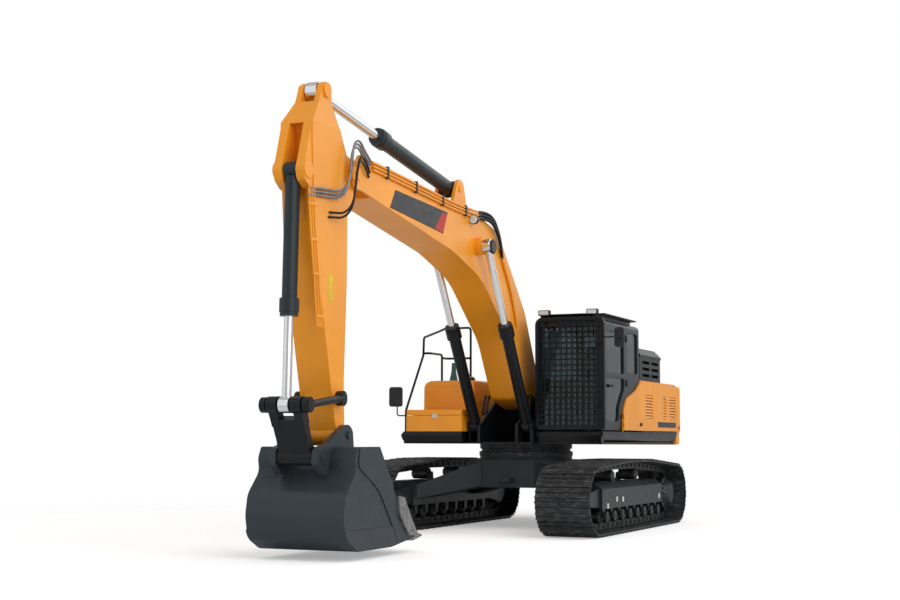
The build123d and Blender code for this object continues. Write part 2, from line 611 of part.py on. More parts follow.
def make_tool_box():
    """Step-height tool box on the right front corner, with its lid's fixed hinge barrels."""
    x, y = (620, DECK_FRONT - 8), (-DECK_HALF + 10, -SLOT_HALF - 8)
    rows = [(x[0], y[0]), (x[1], y[0], 35), (x[1], y[1], 20), (x[0], y[1])]
    chest = prism(rows, "z", SKIRT_TOP + SEAT, TOOL_LID)
    chest -= box((x[0] + 25, x[1] - 25), (y[0] + 25, y[1] - 25), (SKIRT_TOP + 25, TOOL_LID + 10))
    return chest + lid_hinge()[0]


def lid_hinge():
    """Barrels along the lid's rear edge."""
    x, z = LID_HINGE
    return knuckles(LID_HINGE, "y", (-1300, -740), ((x - 12, x + 4), (TOOL_LID - 60, z)),
                    ((x, x + 40), (z - 4, z + 6)))


def make_tool_box_lid():
    """Lid with rounded corners and a turned-down rim."""
    y = (-DECK_HALF + 17, -SLOT_HALF - 8)
    rows = [(632, y[0], 10), (DECK_FRONT - 6, y[0], 35), (DECK_FRONT - 6, y[1], 20), (632, y[1], 10)]
    lid = prism(rows, "z", TOOL_LID + 6, LID_TOP)
    lid -= prism([(DECK_FRONT - 40, LID_TOP + 10), (DECK_FRONT - 6, LID_TOP - 40),
                  (DECK_FRONT + 30, LID_TOP - 40),
                  (DECK_FRONT + 30, LID_TOP + 10)], "y", -2000, 0)
    lid -= box((662, DECK_FRONT - 38), (y[0] + 30, y[1] - 30), (TOOL_LID, LID_TOP - 34))
    return lid + lid_hinge()[1]


def make_swing_motor():
    """Swing motor and reduction gear on the deck between the girders."""
    base = DECK_LOW + DECK_PLATE + SEAT
    rows = [(0, base), (170, base), (170, base + 60), (140, base + 80), (140, base + 300), (100, base + 330),
            (100, base + 520), (0, base + 520)]
    face = Face(Wire.make_polygon([Vector(-640 + r, 0, z) for r, z in rows], close=True))
    return Part() + revolve(face, axis=Axis((-640, 0, 0), (0, 0, 1)))


def make_control_valve():
    """Main control valve block behind the boom foot."""
    base = DECK_LOW + DECK_PLATE + SEAT
    valve = box((-1300, -960), (-230, 230), (base, base + 420))
    for row in range(4):
        y = -170 + row * 105
        valve += box((-1260, -1000), (y, y + 60), (base + 415, base + 480))
    return valve


RAIL_R = 17.0
RAIL_X, RAIL_Y = 1190.0, -DECK_HALF - RAIL_R - SEAT + 10     # front post of the right-hand rail


def rail_path(points, radius=RAIL_R, bend=45):
    """Bent tube through the points with equal bend radius."""
    tube = FilletPolyline(*points, radius=bend)
    return sweep(Plane(origin=tube @ 0, z_dir=tube % 0) * Circle(radius), path=tube)


def make_handrails():
    """Guard rails up the right-hand side and across the tanks, on their posts."""
    top, out, inner = HOOD_TOP - 25 + SEAT, RAIL_Y, -1330
    side = rail_path([(RAIL_X, out, SKIRT_TOP + SEAT), (RAIL_X, out, 1715), (590, out, 2560),
                      (570, out, 2830),
                      (60, out + 30, 2960), (-60, out + 80, 3010), (-60, -930, 3010), (-60, -930, top)])
    middle = rail_path([(583, out + RAIL_R + SEAT, 2590), (583, inner, 2590), (130, inner, 2590),
                        (130, inner, top)])
    cross = rail_path([(130 - RAIL_R - SEAT, inner, 2540), (-60, inner, 2540),
                       (-60, -930 - RAIL_R - SEAT, 2540)])
    return [side, middle, cross]


def make_mirrors():
    """Rear-view mirrors: one on the right handrail, one on an arm from the front guard."""
    rail = Vector(RAIL_X, RAIL_Y, 1640)
    corner = Vector(RAIL_X + 53, RAIL_Y - 118, 1640)
    right = prism([(RAIL_Y - 243, 1770, 40), (RAIL_Y - 38, 1770, 40), (RAIL_Y - 38, 2060, 40),
                   (RAIL_Y - 243, 2060, 40)], "x", RAIL_X + 35, RAIL_X + 72)
    end = rail + (corner - rail).normalized() * (RAIL_R + SEAT)
    right += rail_path([corner + Vector(0, 0, 160), corner, end], 10, 35)
    side = GUARD_SIDES[1]
    left = prism([(side + 110, 2600, 40), (side + 250, 2600, 40), (side + 250, 2880, 40),
                  (side + 110, 2880, 40)],
                 "x", CAB_FRONT - 70, CAB_FRONT - 35)
    guard = CAB_FRONT + 65
    left += rail_path([(guard, side + SEAT, 2740), (guard, side + 175, 2740),
                       (guard - 117, side + 175, 2740)], 11, 45)
    return [right, left]


def make_precleaner():
    """Conical air pre-cleaner stack on the right-hand tank."""
    base = HOOD_TOP - 25 + SEAT
    rows = [(0, base), (70, base), (38, base + 150), (30, base + 290), (0, base + 290)]
    place = (20, -1180)
    face = Face(Wire.make_polygon([Vector(place[0] + r, place[1], z) for r, z in rows], close=True))
    return Part() + revolve(face, axis=Axis((*place, 0), (0, 0, 1)))


# ---------------------------------------------------------------- cab

CAB_SECTION = [(CAB_RIGHT, CAB_LOW), (CAB_LEFT, CAB_LOW), (CAB_LEFT, CAB_TOP, 70), (CAB_RIGHT, CAB_TOP, 70)]
DOOR_FRONT, DOOR_REAR = 740.0, -270.0
DOOR_LOW, DOOR_TOP = 1482.0, 2930.0
DOOR_FLANGE = 22.0
CAB_HINGE = (DOOR_REAR - 38.0, CAB_LEFT + 18.0)


def door_outline(grow):
    """Side door outline, (x, z, corner radius), widened all round by grow."""
    return [(DOOR_FRONT + grow, DOOR_LOW - grow, 40 + grow), (DOOR_FRONT + grow, DOOR_TOP + grow, 60 + grow),
            (DOOR_REAR - grow, DOOR_TOP + grow, 60 + grow), (DOOR_REAR - grow, 1990 - grow / 2, 120),
            (-30 - grow, 1720 - grow / 2, 120), (10 - grow, DOOR_LOW - grow, 40 + grow)]


def cab_door_hinge():
    """Vertical barrels at the cab door's rear edge."""
    x, y = CAB_HINGE
    return knuckles(CAB_HINGE, "z", (2080, 2740), ((x - 14, x + 2), (CAB_LEFT - 1, y)),
                    ((x, x + 38), (y - 11, y + 2)))


UPPER_PANE = [(665, 2260, 40), (665, 2860, 60), (DOOR_REAR + 70, 2860, 60), (DOOR_REAR + 70, 2260, 40)]
LOWER_PANE = [(665, 1560, 60), (665, 2190, 40), (DOOR_REAR + 70, 2190, 40), (DOOR_REAR + 70, 2040, 60),
              (50, 1770, 60), (90, 1560, 60)]
FRONT_PANE = [(CAB_RIGHT + 70, CAB_LOW + 70, 30), (CAB_LEFT - 70, CAB_LOW + 70, 30),
              (CAB_LEFT - 70, CAB_TOP - 90, 60), (CAB_RIGHT + 70, CAB_TOP - 90, 60)]
REAR_PANE = [(CAB_RIGHT + 90, 2260, 40), (CAB_LEFT - 90, 2260, 40), (CAB_LEFT - 90, CAB_TOP - 110, 60),
             (CAB_RIGHT + 90, CAB_TOP - 110, 60)]
RIGHT_PANE = [(780, CAB_LOW + 120, 60), (780, CAB_TOP - 110, 60), (-820, CAB_TOP - 110, 60),
              (-820, 2100, 60),
              (-200, CAB_LOW + 320, 120)]
QUARTER_PANE = [(DOOR_REAR - 110, 2290, 40), (DOOR_REAR - 110, DOOR_TOP - 40, 60),
                (CAB_REAR + 80, DOOR_TOP - 40, 60), (CAB_REAR + 80, 2290, 40)]


def shrink(rows, inset):
    """The same outline with every edge moved inwards by inset."""
    area = sum(a[0] * b[1] - b[0] * a[1] for a, b in zip(rows, rows[1:] + rows[:1]))
    turn = math.copysign(1, area)
    normals = []
    for a, b in zip(rows, rows[1:] + rows[:1]):
        length = math.dist(a[:2], b[:2])
        normals.append((-turn * (b[1] - a[1]) / length, turn * (b[0] - a[0]) / length))
    moved = []
    for index, row in enumerate(rows):
        before, after = normals[index - 1], normals[index]
        scale = inset / (1 + before[0] * after[0] + before[1] * after[1])
        moved.append((row[0] + (before[0] + after[0]) * scale, row[1] + (before[1] + after[1]) * scale,
                      row[2]))
    return moved


def make_cab_frame():
    """Hollow pressed cab shell with its window and door openings."""
    shell = prism(CAB_SECTION, "x", CAB_REAR, CAB_FRONT)
    inside = [(CAB_RIGHT + CAB_WALL, CAB_LOW + CAB_WALL), (CAB_LEFT - CAB_WALL, CAB_LOW + CAB_WALL),
              (CAB_LEFT - CAB_WALL, CAB_TOP - CAB_WALL, 30), (CAB_RIGHT + CAB_WALL, CAB_TOP - CAB_WALL, 30)]
    shell -= prism(inside, "x", CAB_REAR + CAB_WALL, CAB_FRONT - CAB_WALL)
    shell -= prism(FRONT_PANE, "x", CAB_FRONT - CAB_WALL - 20, CAB_FRONT + 20)
    shell -= prism(REAR_PANE, "x", CAB_REAR - 20, CAB_REAR + CAB_WALL + 20)
    shell -= prism(RIGHT_PANE, "y", CAB_RIGHT - 20, CAB_RIGHT + CAB_WALL + 20)
    shell -= prism(QUARTER_PANE, "y", CAB_LEFT - CAB_WALL - 20, CAB_LEFT + 20)
    shell -= prism(door_outline(DOOR_GAP), "y", CAB_LEFT - CAB_WALL - 20, CAB_LEFT + 20)
    shell += cab_door_hinge()[0]
    for x in (CAB_REAR + 120, CAB_FRONT - 180):
        for y in (CAB_RIGHT + 80, CAB_LEFT - 240):
            shell += bar((x, y, DECK_LOW + DECK_PLATE + SEAT), (x, y, CAB_LOW + 10), 45)
    return shell


def pane(rows, axis, level):
    """Window pane that fills its opening."""
    return prism(shrink(rows, SEAT), axis, level, level + GLASS)


def make_cab_glass():
    """Fixed panes: windscreen, rear, right side and rear quarter."""
    return [pane(FRONT_PANE, "x", CAB_FRONT - 30), pane(REAR_PANE, "x", CAB_REAR + 24),
            pane(RIGHT_PANE, "y", CAB_RIGHT + 24), pane(QUARTER_PANE, "y", CAB_LEFT - 30)]


def make_cab_door():
    """Cab door with its two window openings."""
    door = prism(door_outline(0), "y", CAB_LEFT - CAB_WALL + 6, CAB_LEFT + 5)
    door += prism(door_outline(DOOR_FLANGE), "y", CAB_LEFT + SEAT, CAB_LEFT + 8)
    for rows in (UPPER_PANE, LOWER_PANE):
        door -= prism(rows, "y", CAB_LEFT - CAB_WALL - 20, CAB_LEFT + 20)
    return door + cab_door_hinge()[1]


def make_cab_door_glass():
    """Upper and lower door panes."""
    return [pane(rows, "y", CAB_LEFT - 24) for rows in (UPPER_PANE, LOWER_PANE)]


SEAT_X, SEAT_Y = -330.0, 980.0
FLOOR = CAB_LOW + CAB_WALL


def make_operator_seat():
    """Suspension base, cushion, backrest and headrest."""
    base = box((SEAT_X - 220, SEAT_X + 220), (SEAT_Y - 200, SEAT_Y + 200), (FLOOR + SEAT, FLOOR + 260))
    cushion = prism([(SEAT_X - 260, FLOOR + 250, 30), (SEAT_X + 270, FLOOR + 250, 40),
                     (SEAT_X + 270, FLOOR + 380, 50),
                     (SEAT_X - 260, FLOOR + 370, 30)], "y", SEAT_Y - 250, SEAT_Y + 250)
    back = prism([(SEAT_X - 270, FLOOR + 340, 30), (SEAT_X - 150, FLOOR + 340, 30),
                  (SEAT_X - 250, FLOOR + 960, 40),
                  (SEAT_X - 370, FLOOR + 960, 40)], "y", SEAT_Y - 240, SEAT_Y + 240)
    head = prism([(SEAT_X - 370, FLOOR + 940, 20), (SEAT_X - 265, FLOOR + 940, 20),
                  (SEAT_X - 295, FLOOR + 1140, 40),
                  (SEAT_X - 400, FLOOR + 1140, 40)], "y", SEAT_Y - 130, SEAT_Y + 130)
    return base + cushion + back + head


def make_controls():
    """Armrest consoles with joysticks, and the travel pedals with their levers."""
    pieces = []
    for side in (-1, 1):
        y = SEAT_Y + side * 335
        console = prism([(SEAT_X - 220, FLOOR + SEAT, 20), (SEAT_X + 180, FLOOR + SEAT, 20),
                         (SEAT_X + 260, FLOOR + 520, 60),
                         (SEAT_X - 220, FLOOR + 480, 30)], "y", y - 75, y + 75)
        console += bar((SEAT_X + 190, y, FLOOR + 480), (SEAT_X + 215, y, FLOOR + 640), 20)
        pieces.append(console)
        y = SEAT_Y + side * 90
        pedal = box((SEAT_X + 640, SEAT_X + 860), (y - 55, y + 55), (FLOOR + SEAT, FLOOR + 60))
        pedal += bar((SEAT_X + 700, y, FLOOR + 40), (SEAT_X + 560, y, FLOOR + 560), 12)
        pieces.append(pedal)
    return pieces


GUARD_COLUMNS, GUARD_ROWS = 11, 19
GUARD_BAR = 16.0
GUARD_SIDES = (CAB_RIGHT - 4.0, CAB_LEFT + 75.0)


def make_front_guard():
    """Falling-object guard before the windscreen: a round-cornered frame filled with square mesh."""
    low, high = GUARD_SIDES
    x0, base, peak, rim = CAB_FRONT + 40, CAB_LOW + 8, CAB_TOP + 20, 50
    frame = prism([(low, base, 30), (high, base, 30), (high, peak, 110), (low, peak, 110)], "x", x0, x0 + 50)
    frame -= prism([(low + rim, base + rim, 10), (high - rim, base + rim, 10), (high - rim, peak - rim, 70),
                    (low + rim, peak - rim, 70)], "x", x0 - 10, x0 + 60)
    width, height = high - low - 2 * rim, peak - base - 2 * rim
    corners = [(low + rim - 5, base + rim - 5), (high - rim + 5, base + rim - 5),
               (high - rim + 5, peak - rim - 40),
               (high - rim - 40, peak - rim + 5), (low + rim + 40, peak - rim + 5),
               (low + rim - 5, peak - rim - 40)]
    holes = [guard_hole(x0 + 15, low + rim + (column + 0.5) * width / GUARD_COLUMNS,
                        base + rim + (row + 0.5) * height / GUARD_ROWS,
                        width / GUARD_COLUMNS - GUARD_BAR, height / GUARD_ROWS - GUARD_BAR)
             for column in range(GUARD_COLUMNS) for row in range(GUARD_ROWS)
             if row < GUARD_ROWS - 1 or 0 < column < GUARD_COLUMNS - 1]
    sheet = Face(Wire.make_polygon([Vector(x0 + 15, y, z) for y, z in corners], close=True), holes)
    frame += extrude(sheet, amount=10, dir=(1, 0, 0))
    middle = base + rim + 5 * height / GUARD_ROWS
    frame += box((x0 + 8, x0 + 36), (low + 20, high - 20), (middle - 14, middle + 14))
    for y in (low + 24, CAB_LEFT - 60):
        for z in (CAB_LOW + 300, CAB_TOP - 400):
            frame += box((CAB_FRONT + SEAT, x0 + 5), (y, y + 40), (z, z + 50))
    return frame


def guard_hole(x, y, z, wide, high):
    """Rectangular hole wire in the guard's sheet."""
    return Wire.make_polygon([Vector(x, y - wide / 2, z - high / 2), Vector(x, y + wide / 2, z - high / 2),
                              Vector(x, y + wide / 2, z + high / 2), Vector(x, y - wide / 2, z + high / 2)],
                             close=True)


def make_roof_guard():
    """Slatted guard on the roof, with the rear rain visor."""
    base = CAB_TOP + SEAT
    guard = box((CAB_REAR + 250, CAB_FRONT + 30), (CAB_RIGHT + 60, CAB_RIGHT + 110), (base, base + 60))
    guard += box((CAB_REAR + 250, CAB_FRONT + 30), (CAB_LEFT - 110, CAB_LEFT - 60), (base, base + 60))
    count = 9
    for slat in range(count):
        x = CAB_REAR + 270 + slat * (CAB_FRONT - CAB_REAR - 320) / (count - 1)
        guard += prism([(x - 20, base + 20), (x + 10, base + 20), (x + 50, base + 70), (x + 20, base + 70)],
                       "y", CAB_RIGHT + 60, CAB_LEFT - 60)
    visor = prism([(CAB_LEFT - 100, CAB_TOP + 40), (CAB_LEFT + 40, CAB_TOP + 52, 6),
                   (CAB_LEFT + 46, CAB_TOP + 70, 6),
                   (CAB_LEFT - 100, CAB_TOP + 66)], "x", CAB_REAR + 260, CAB_FRONT - 60)
    return guard + visor


# ---------------------------------------------------------------- boom and its cylinders

BOOM_ROWS = [
    (FOOT[0] + 120, FOOT[1] - 130, 60), (760, 1880, 120), (1290, 2705, 900), (2350, 3480, 1500),
             (3300, 3740, 1800),
    (5900, 4125, 300), (6120, 4130, 80), (6135, 4340, 120), (5975, 4540, 90), (5450, 4475, 600),
             (2500, 4340, 500),
    (1730, 4180, 450), (700, 3150, 700), (FOOT[0] - 130, FOOT[1] + 160, 300),
]
FOOT_BORE_R, NOSE_PIN_R, BUCKET_PIN_R, ROCKER_PIN_R = 55.0, 55.0, 45.0, 40.0


def make_boom():
    """Curved box boom with foot boss, cylinder bosses, top bracket and forked nose."""
    body = prism(BOOM_ROWS, "y", -BOOM_HALF, BOOM_HALF)
    body += pin(FOOT, 150, -BOOM_HALF - 12, BOOM_HALF + 12)
    body -= pin(FOOT, FOOT_BORE_R + PIN_FIT, -400, 400)
    if NOSE_OUT > BOOM_HALF:
        body += prism([(5500, 4105), (5900, 4125, 300), (6120, 4130, 80), (6135, 4340, 120),
                       (5975, 4540, 90),
                       (5500, 4475)], "y", -NOSE_OUT, NOSE_OUT)
    body -= prism([(5640, 3900), (6400, 3900), (6400, 4700), (5640, 4700)], "y", -NOSE_IN, NOSE_IN)
    for side in (-1, 1):
        body += pin(ARM_PIVOT, 105, *facing(side, NOSE_IN, NOSE_OUT + 18))
        body += pin(BOOM_ROD, 120, *facing(side, BOOM_HALF - 5, CYLINDER_Y - ROD_EYE_HALF - SIDE_GAP))
        inner = ARM_EYE_HALF + SIDE_GAP
        body += prism([(2540, 4290), (3140, 4330), (ARM_BASE[0] + 130, ARM_BASE[1] + 10, 80),
                       (ARM_BASE[0] + 40, ARM_BASE[1] + 150, 90), (ARM_BASE[0] - 110, ARM_BASE[1] + 80, 90),
                       (2660, 4470, 60)], "y", *facing(side, inner, inner + 45))
    body += pin(ARM_BASE, 50, -ARM_EYE_HALF - SIDE_GAP - 60, ARM_EYE_HALF + SIDE_GAP + 60)
    body += pin(ARM_PIVOT, NOSE_PIN_R, -NOSE_OUT - 30, NOSE_OUT + 30)
    return body


def cylinder_barrel(base, rod, y, length, bore, wall, eye, half):
    """Barrel from its base eye at base to its gland, with the bore open at the rod's end."""
    tail = along(base, rod, eye * 0.8)
    head = along(base, rod, length)
    body = bar((tail[0], y, tail[1]), (head[0], y, head[1]), bore + wall)
    neck, groove = along(base, rod, length - COLLAR_LENGTH), along(base, rod, length - 45)
    body += bar((neck[0], y, neck[1]), (groove[0], y, groove[1]), bore + wall + COLLAR_PROUD)
    body += bar((groove[0], y, groove[1]), (head[0], y, head[1]), bore + wall + COLLAR_PROUD - 8)
    body += pin(base, eye, y - half, y + half)
    seat = along(base, rod, eye * 0.8 + 100)
    body -= bar((seat[0], y, seat[1]), (head[0], y, head[1]), bore)
    return body


def cylinder_rod(base, rod, y, start, radius, bore, eye, half):
    """Rod with its piston end inside the barrel and an eye at the pin."""
    inner = along(base, rod, start)
    end = along(base, rod, math.dist(base, rod) - eye * 0.8)
    body = bar((inner[0], y, inner[1]), (end[0], y, end[1]), radius)
    foot = along(base, rod, start + PISTON)
    body += bar((inner[0], y, inner[1]), (foot[0], y, foot[1]), bore - PIN_FIT)
    return body + pin(rod, eye, y - half, y + half)


BOOM_BARREL, BOOM_BORE, BOOM_WALL_T, BOOM_ROD_R = 1640.0, 70.0, 13.0, 50.0
ARM_BARREL, ARM_BORE, ARM_WALL_T, ARM_ROD_R = 2210.0, 80.0, 15.0, 56.0
BUCKET_BARREL, BUCKET_BORE, BUCKET_WALL_T, BUCKET_ROD_R = 1590.0, 70.0, 13.0, 50.0


PISTON, GLAND = 110.0, 50.0
COLLAR_LENGTH, COLLAR_PROUD = 190.0, 24.0     # thick end of a barrel round its gland
ROD_EYE_HALF, ARM_ROD_HALF, BUCKET_EYE_HALF = 50.0, 70.0, 70.0


def gland(base, rod, y, length, radius, bore):
    """Ring at the barrel's mouth that closes the bore round the rod."""
    start = along(base, rod, length - GLAND)
    end = along(base, rod, length)
    ring = bar((start[0], y, start[1]), (end[0], y, end[1]), bore + 1)
    return ring - bar((start[0], y, start[1]), (end[0], y, end[1]), radius + PIN_FIT)


def make_barrel(base, rod, y, length, bore, wall, rod_radius, eye, half, pin_radius):
    """Complete barrel with gland and pin bore."""
    body = cylinder_barrel(base, rod, y, length, bore, wall, eye, half)
    body += gland(base, rod, y, length, rod_radius, bore)
    return body - pin(base, pin_radius + PIN_FIT, y - half - 50, y + half + 50)


def make_boom_cylinders():
    """Barrels and rods of the two boom cylinders."""
    barrels, rods = [], []
    for side in (-1, 1):
        y = side * CYLINDER_Y
        barrels.append(make_barrel(BOOM_BASE, BOOM_ROD, y, BOOM_BARREL, BOOM_BORE, BOOM_WALL_T, BOOM_ROD_R,
                                   95, ROD_EYE_HALF, 45))
        rod = cylinder_rod(BOOM_BASE, BOOM_ROD, y, 948, BOOM_ROD_R, BOOM_BORE, 92, ROD_EYE_HALF)
        rod += pin(BOOM_ROD, 75, *sorted((y, y + side * 78)))
        rods.append(rod)
    return barrels, rods


def make_arm_cylinder():
    """Barrel and rod of the arm cylinder on top of the boom."""
    barrel = make_barrel(ARM_BASE, ARM_ROD, 0, ARM_BARREL, ARM_BORE, ARM_WALL_T, ARM_ROD_R, 110,
                         ARM_EYE_HALF, 50)
    rod = cylinder_rod(ARM_BASE, ARM_ROD, 0, 1510, ARM_ROD_R, ARM_BORE, 105, ARM_ROD_HALF)
    return barrel, rod


def make_bucket_cylinder():
    """Barrel and rod of the bucket cylinder before the arm."""
    barrel = make_barrel(BUCKET_BASE, CROSS, 0, BUCKET_BARREL, BUCKET_BORE, BUCKET_WALL_T, BUCKET_ROD_R,
                         88, BUCKET_EYE_HALF, 42)
    rod = cylinder_rod(BUCKET_BASE, CROSS, 0, 655, BUCKET_ROD_R, BUCKET_BORE, 88, 60)
    return barrel, rod


# ---------------------------------------------------------------- arm, links and bucket

HEAD_FOLD, HEAD_TOP = 4735.0, 5035.0   # the arm's head narrows from its fold to its top
HEAD_HALF = ARM_HALF - 55.0
EYE_LIP = 5005.0            # top of the head's front wall under the swinging rod eye
EAR_IN, EAR_OUT = 88.0, 148.0
ARM_ROWS = [
    (BUCKET_PIN[0] - 90, BUCKET_PIN[1] - 20, 60), (6215, 1950, 300), (6165, 3050, 800), (6165, 3860, 300),
    (ARM_PIVOT[0] - 170, ARM_PIVOT[1] - 120, 120), (ARM_PIVOT[0] - 150, ARM_PIVOT[1] + 150, 130),
    (6190, 4480, 60), (6290, 4640, 200), (6385, 4810, 200), (6470, HEAD_TOP, 40), (6735, HEAD_TOP, 40),
    (6985, HEAD_FOLD, 30), (6985, 4560, 60), (6945, 4050, 200), (6870, 3300, 800), (6530, 1940, 300),
    (BUCKET_PIN[0] + 110, BUCKET_PIN[1] + 60, 60), (BUCKET_PIN[0] + 60, BUCKET_PIN[1] - 110, 60),
]


def make_arm():
    """Box arm: tapered head with the rod's ears, front clevis, and bosses at its pins."""
    body = prism(ARM_ROWS, "y", -ARM_HALF, ARM_HALF)
    body &= prism([(-ARM_HALF, 1000), (ARM_HALF, 1000), (ARM_HALF, HEAD_FOLD), (HEAD_HALF, HEAD_TOP + 10),
                   (-HEAD_HALF, HEAD_TOP + 10), (-ARM_HALF, HEAD_FOLD)], "x", 5500, 7500)
    body += pin(ARM_PIVOT, 165, -NOSE_IN + SIDE_GAP, NOSE_IN - SIDE_GAP)
    body -= pin(ARM_PIVOT, NOSE_PIN_R + PIN_FIT, -400, 400)
    for place, radius, bore in ((BUCKET_PIN, 118, BUCKET_PIN_R), (ROCKER, 75, ROCKER_PIN_R)):
        body += pin(place, radius, -EYE_OUT, EYE_OUT)
        body -= pin(place, bore + PIN_FIT, -400, 400)
    body -= prism([(6905, 3640), (7200, 3640), (7200, HEAD_FOLD - 15), (6870, HEAD_FOLD - 15), (6830, 4600),
                   (6830, 4040)], "y", -EAR_IN, EAR_IN)
    body -= prism([(6100, 4480), (6250, 4560), (6460, 4830), (6540, 4900), (6690, 4930), (6700, EYE_LIP),
                   (6800, EYE_LIP), (6800, 5400), (6000, 5400)], "y", -EAR_IN, EAR_IN)
    for side in (-1, 1):
        body += prism([(6880, 4000), (7000, 3990, 60), (7120, 4070, 90), (7160, 4190, 90), (7110, 4310, 60),
                       (6985, HEAD_FOLD - 5), (6880, HEAD_FOLD - 5)], "y",
                      *facing(side, EAR_IN, ARM_HALF - 12))
        body += prism([(6430, 4880), (6760, 4880), (6765, 5010, 30), (6690, 5200, 80), (6600, 5262, 80),
                       (6485, 5215, 90), (6465, 5010, 60)], "y", *facing(side, EAR_IN, EAR_OUT))
        body += pin(BUCKET_BASE, 100, *facing(side, EAR_IN, ARM_HALF))
        body += pin(BUCKET_BASE, 60, *facing(side, BUCKET_EYE_HALF + SIDE_GAP, EAR_IN + 5))
        body += pin(ARM_ROD, 82, *facing(side, ARM_ROD_HALF + SIDE_GAP, EAR_OUT + 22))
    return body + pin(BUCKET_BASE, 42, -EAR_OUT, EAR_OUT)


def link_arm(start, end, y, radii, boss, half):
    """Tapered round bar between two ringed bosses at (x, z) places."""
    plane = Plane(origin=(start[0], y, start[1]), z_dir=(end[0] - start[0], 0, end[1] - start[1]))
    body = plane * Cone(radii[0], radii[1], math.dist(start, end),
                        align=(Align.CENTER, Align.CENTER, Align.MIN))
    for place in (start, end):
        body += pin(place, boss, y - half, y + half)
        body += pin(place, boss - 18, y - half - 6, y + half + 6)
    return body


ROCKER_HALF = 34.0          # half width of a rocker arm's bosses
ROCKER_Y = EYE_OUT + SIDE_GAP + 6 + ROCKER_HALF


def make_rocker():
    """Pair of forged rocker arms on one lower pin, with a stub pin at each front end."""
    rocker = pin(ROCKER, ROCKER_PIN_R, -ROCKER_Y - ROCKER_HALF, ROCKER_Y + ROCKER_HALF)
    for side in (-1, 1):
        rocker += link_arm(ROCKER, CROSS, side * ROCKER_Y, (46, 38), 84, ROCKER_HALF)
        rocker += pin(CROSS, CROSS_PIN_R, *facing(side, LINK_IN - 8, ROCKER_Y))
    return rocker


LINK_IN, LINK_OUT = 80.0, ARM_HALF + 10.0
CROSS_PIN_R, LINK_PIN_R = 40.0, 42.0
WEB_START = 150.0           # where the link's web begins below the cross pin, clear of the rod eye


def make_h_link():
    """Cast H-shaped bucket link: two cheeks round the rod eye, joined by a waisted web."""
    reach = math.dist(CROSS, LINK_END)
    link = pin(LINK_END, 88, -LINK_OUT, LINK_OUT)
    web = [along(CROSS, LINK_END, distance, offset) for distance, offset in
           ((WEB_START, 55), (reach * 0.65, 42), (reach - 20, 60), (reach - 20, -60), (reach * 0.65, -42),
            (WEB_START, -55))]
    link += prism(web, "y", -LINK_OUT + 18, LINK_OUT - 18)
    for side in (-1, 1):
        link += pin(CROSS, 92, *facing(side, LINK_IN, LINK_OUT))
        cheek = [along(CROSS, LINK_END, distance, offset) for distance, offset in
                 ((0, 70), (230, 55), (230, -55), (0, -70))]
        link += prism(cheek, "y", *facing(side, LINK_IN + 20, LINK_OUT - 10))
    return link - pin(CROSS, CROSS_PIN_R + PIN_FIT, -400, 400)


LIP_ROOT, LIP_OUT, LIP_IN = 5800.0, 78 / 620, 0.115      # start and slopes of the cutting lip's two faces
BUCKET_ROWS = [
    (6100, 1212, 20), (6635, 1212, 50), (6700, 1080, 120), (6665, 945, 130), (6905, 700, 220),
               (6945, 470, 220),
    (6890, 225, 150), (6640, 98, 200), (LIP_ROOT, 98, 500), (5180, 176), (5250, 262, 60), (5660, 560, 300),
    (5790, 800, 300),
]
SHELL = 34.0                # shell plate at the bottom and the lip
RIB = [(6118, 1204, 20), (6600, 1204, 50), (6625, 1000, 60), (6130, 735, 700), (5865, 420, 500), (5640, 150),
       (5210, 185), (5270, 258, 60), (5668, 552, 300), (5798, 792, 300)]


def make_bucket():
    """Bucket shell, side plates with their front reinforcement, pin ears and wear strips."""
    solid = prism(BUCKET_ROWS, "y", -BUCKET_HALF, BUCKET_HALF)
    floor = 98 + SHELL
    inner = [(5980, 1300, 20), (6610, 1180, 40), (6668, 1080, 120), (6632, 945, 130), (6872, 690, 200),
             (6912, 470, 200), (6860, 245, 130), (6630, floor, 180), (LIP_ROOT, floor, 480),
             (5100, floor + (LIP_ROOT - 5100) * LIP_IN), (4900, 300), (5300, 1300)]
    solid -= prism(inner, "y", -BUCKET_HALF + BUCKET_PLATE, BUCKET_HALF - BUCKET_PLATE)
    for side in (-1, 1):
        solid += prism([(6150, 1195), (6175, 1380, 100), (6280, 1480, 130), (6420, 1410, 120),
                        (6740, 1250, 60),
                        (6960, 1190, 60), (6975, 1030, 60), (6820, 905, 40), (6720, 925), (6690, 1150)],
                       "y", *facing(side, LINK_OUT + 12, LINK_OUT + 90))
        solid += pin(LINK_END, LINK_PIN_R, *facing(side, LINK_OUT + SIDE_GAP, LINK_OUT + 102))
        solid += prism(RIB, "y", *facing(side, BUCKET_HALF - 1, BUCKET_HALF + 12))
        solid += prism([(5450, lip_outside(5450) + 6), (LIP_ROOT, 104, 400), (6640, 104, 190),
                        (6880, 235, 140),
                        (6925, 327, 20), (5560, 325, 20)], "y",
                       *facing(side, BUCKET_HALF - 1, BUCKET_HALF + 8))
    return solid + pin(BUCKET_PIN, BUCKET_PIN_R, -318, 318)


def lip_inside(x):
    """Height of the cutting lip's inner face."""
    return 98 + SHELL + (LIP_ROOT - x) * LIP_IN


def lip_outside(x):
    """Height of the cutting lip's outer face."""
    return 98 + (LIP_ROOT - x) * LIP_OUT


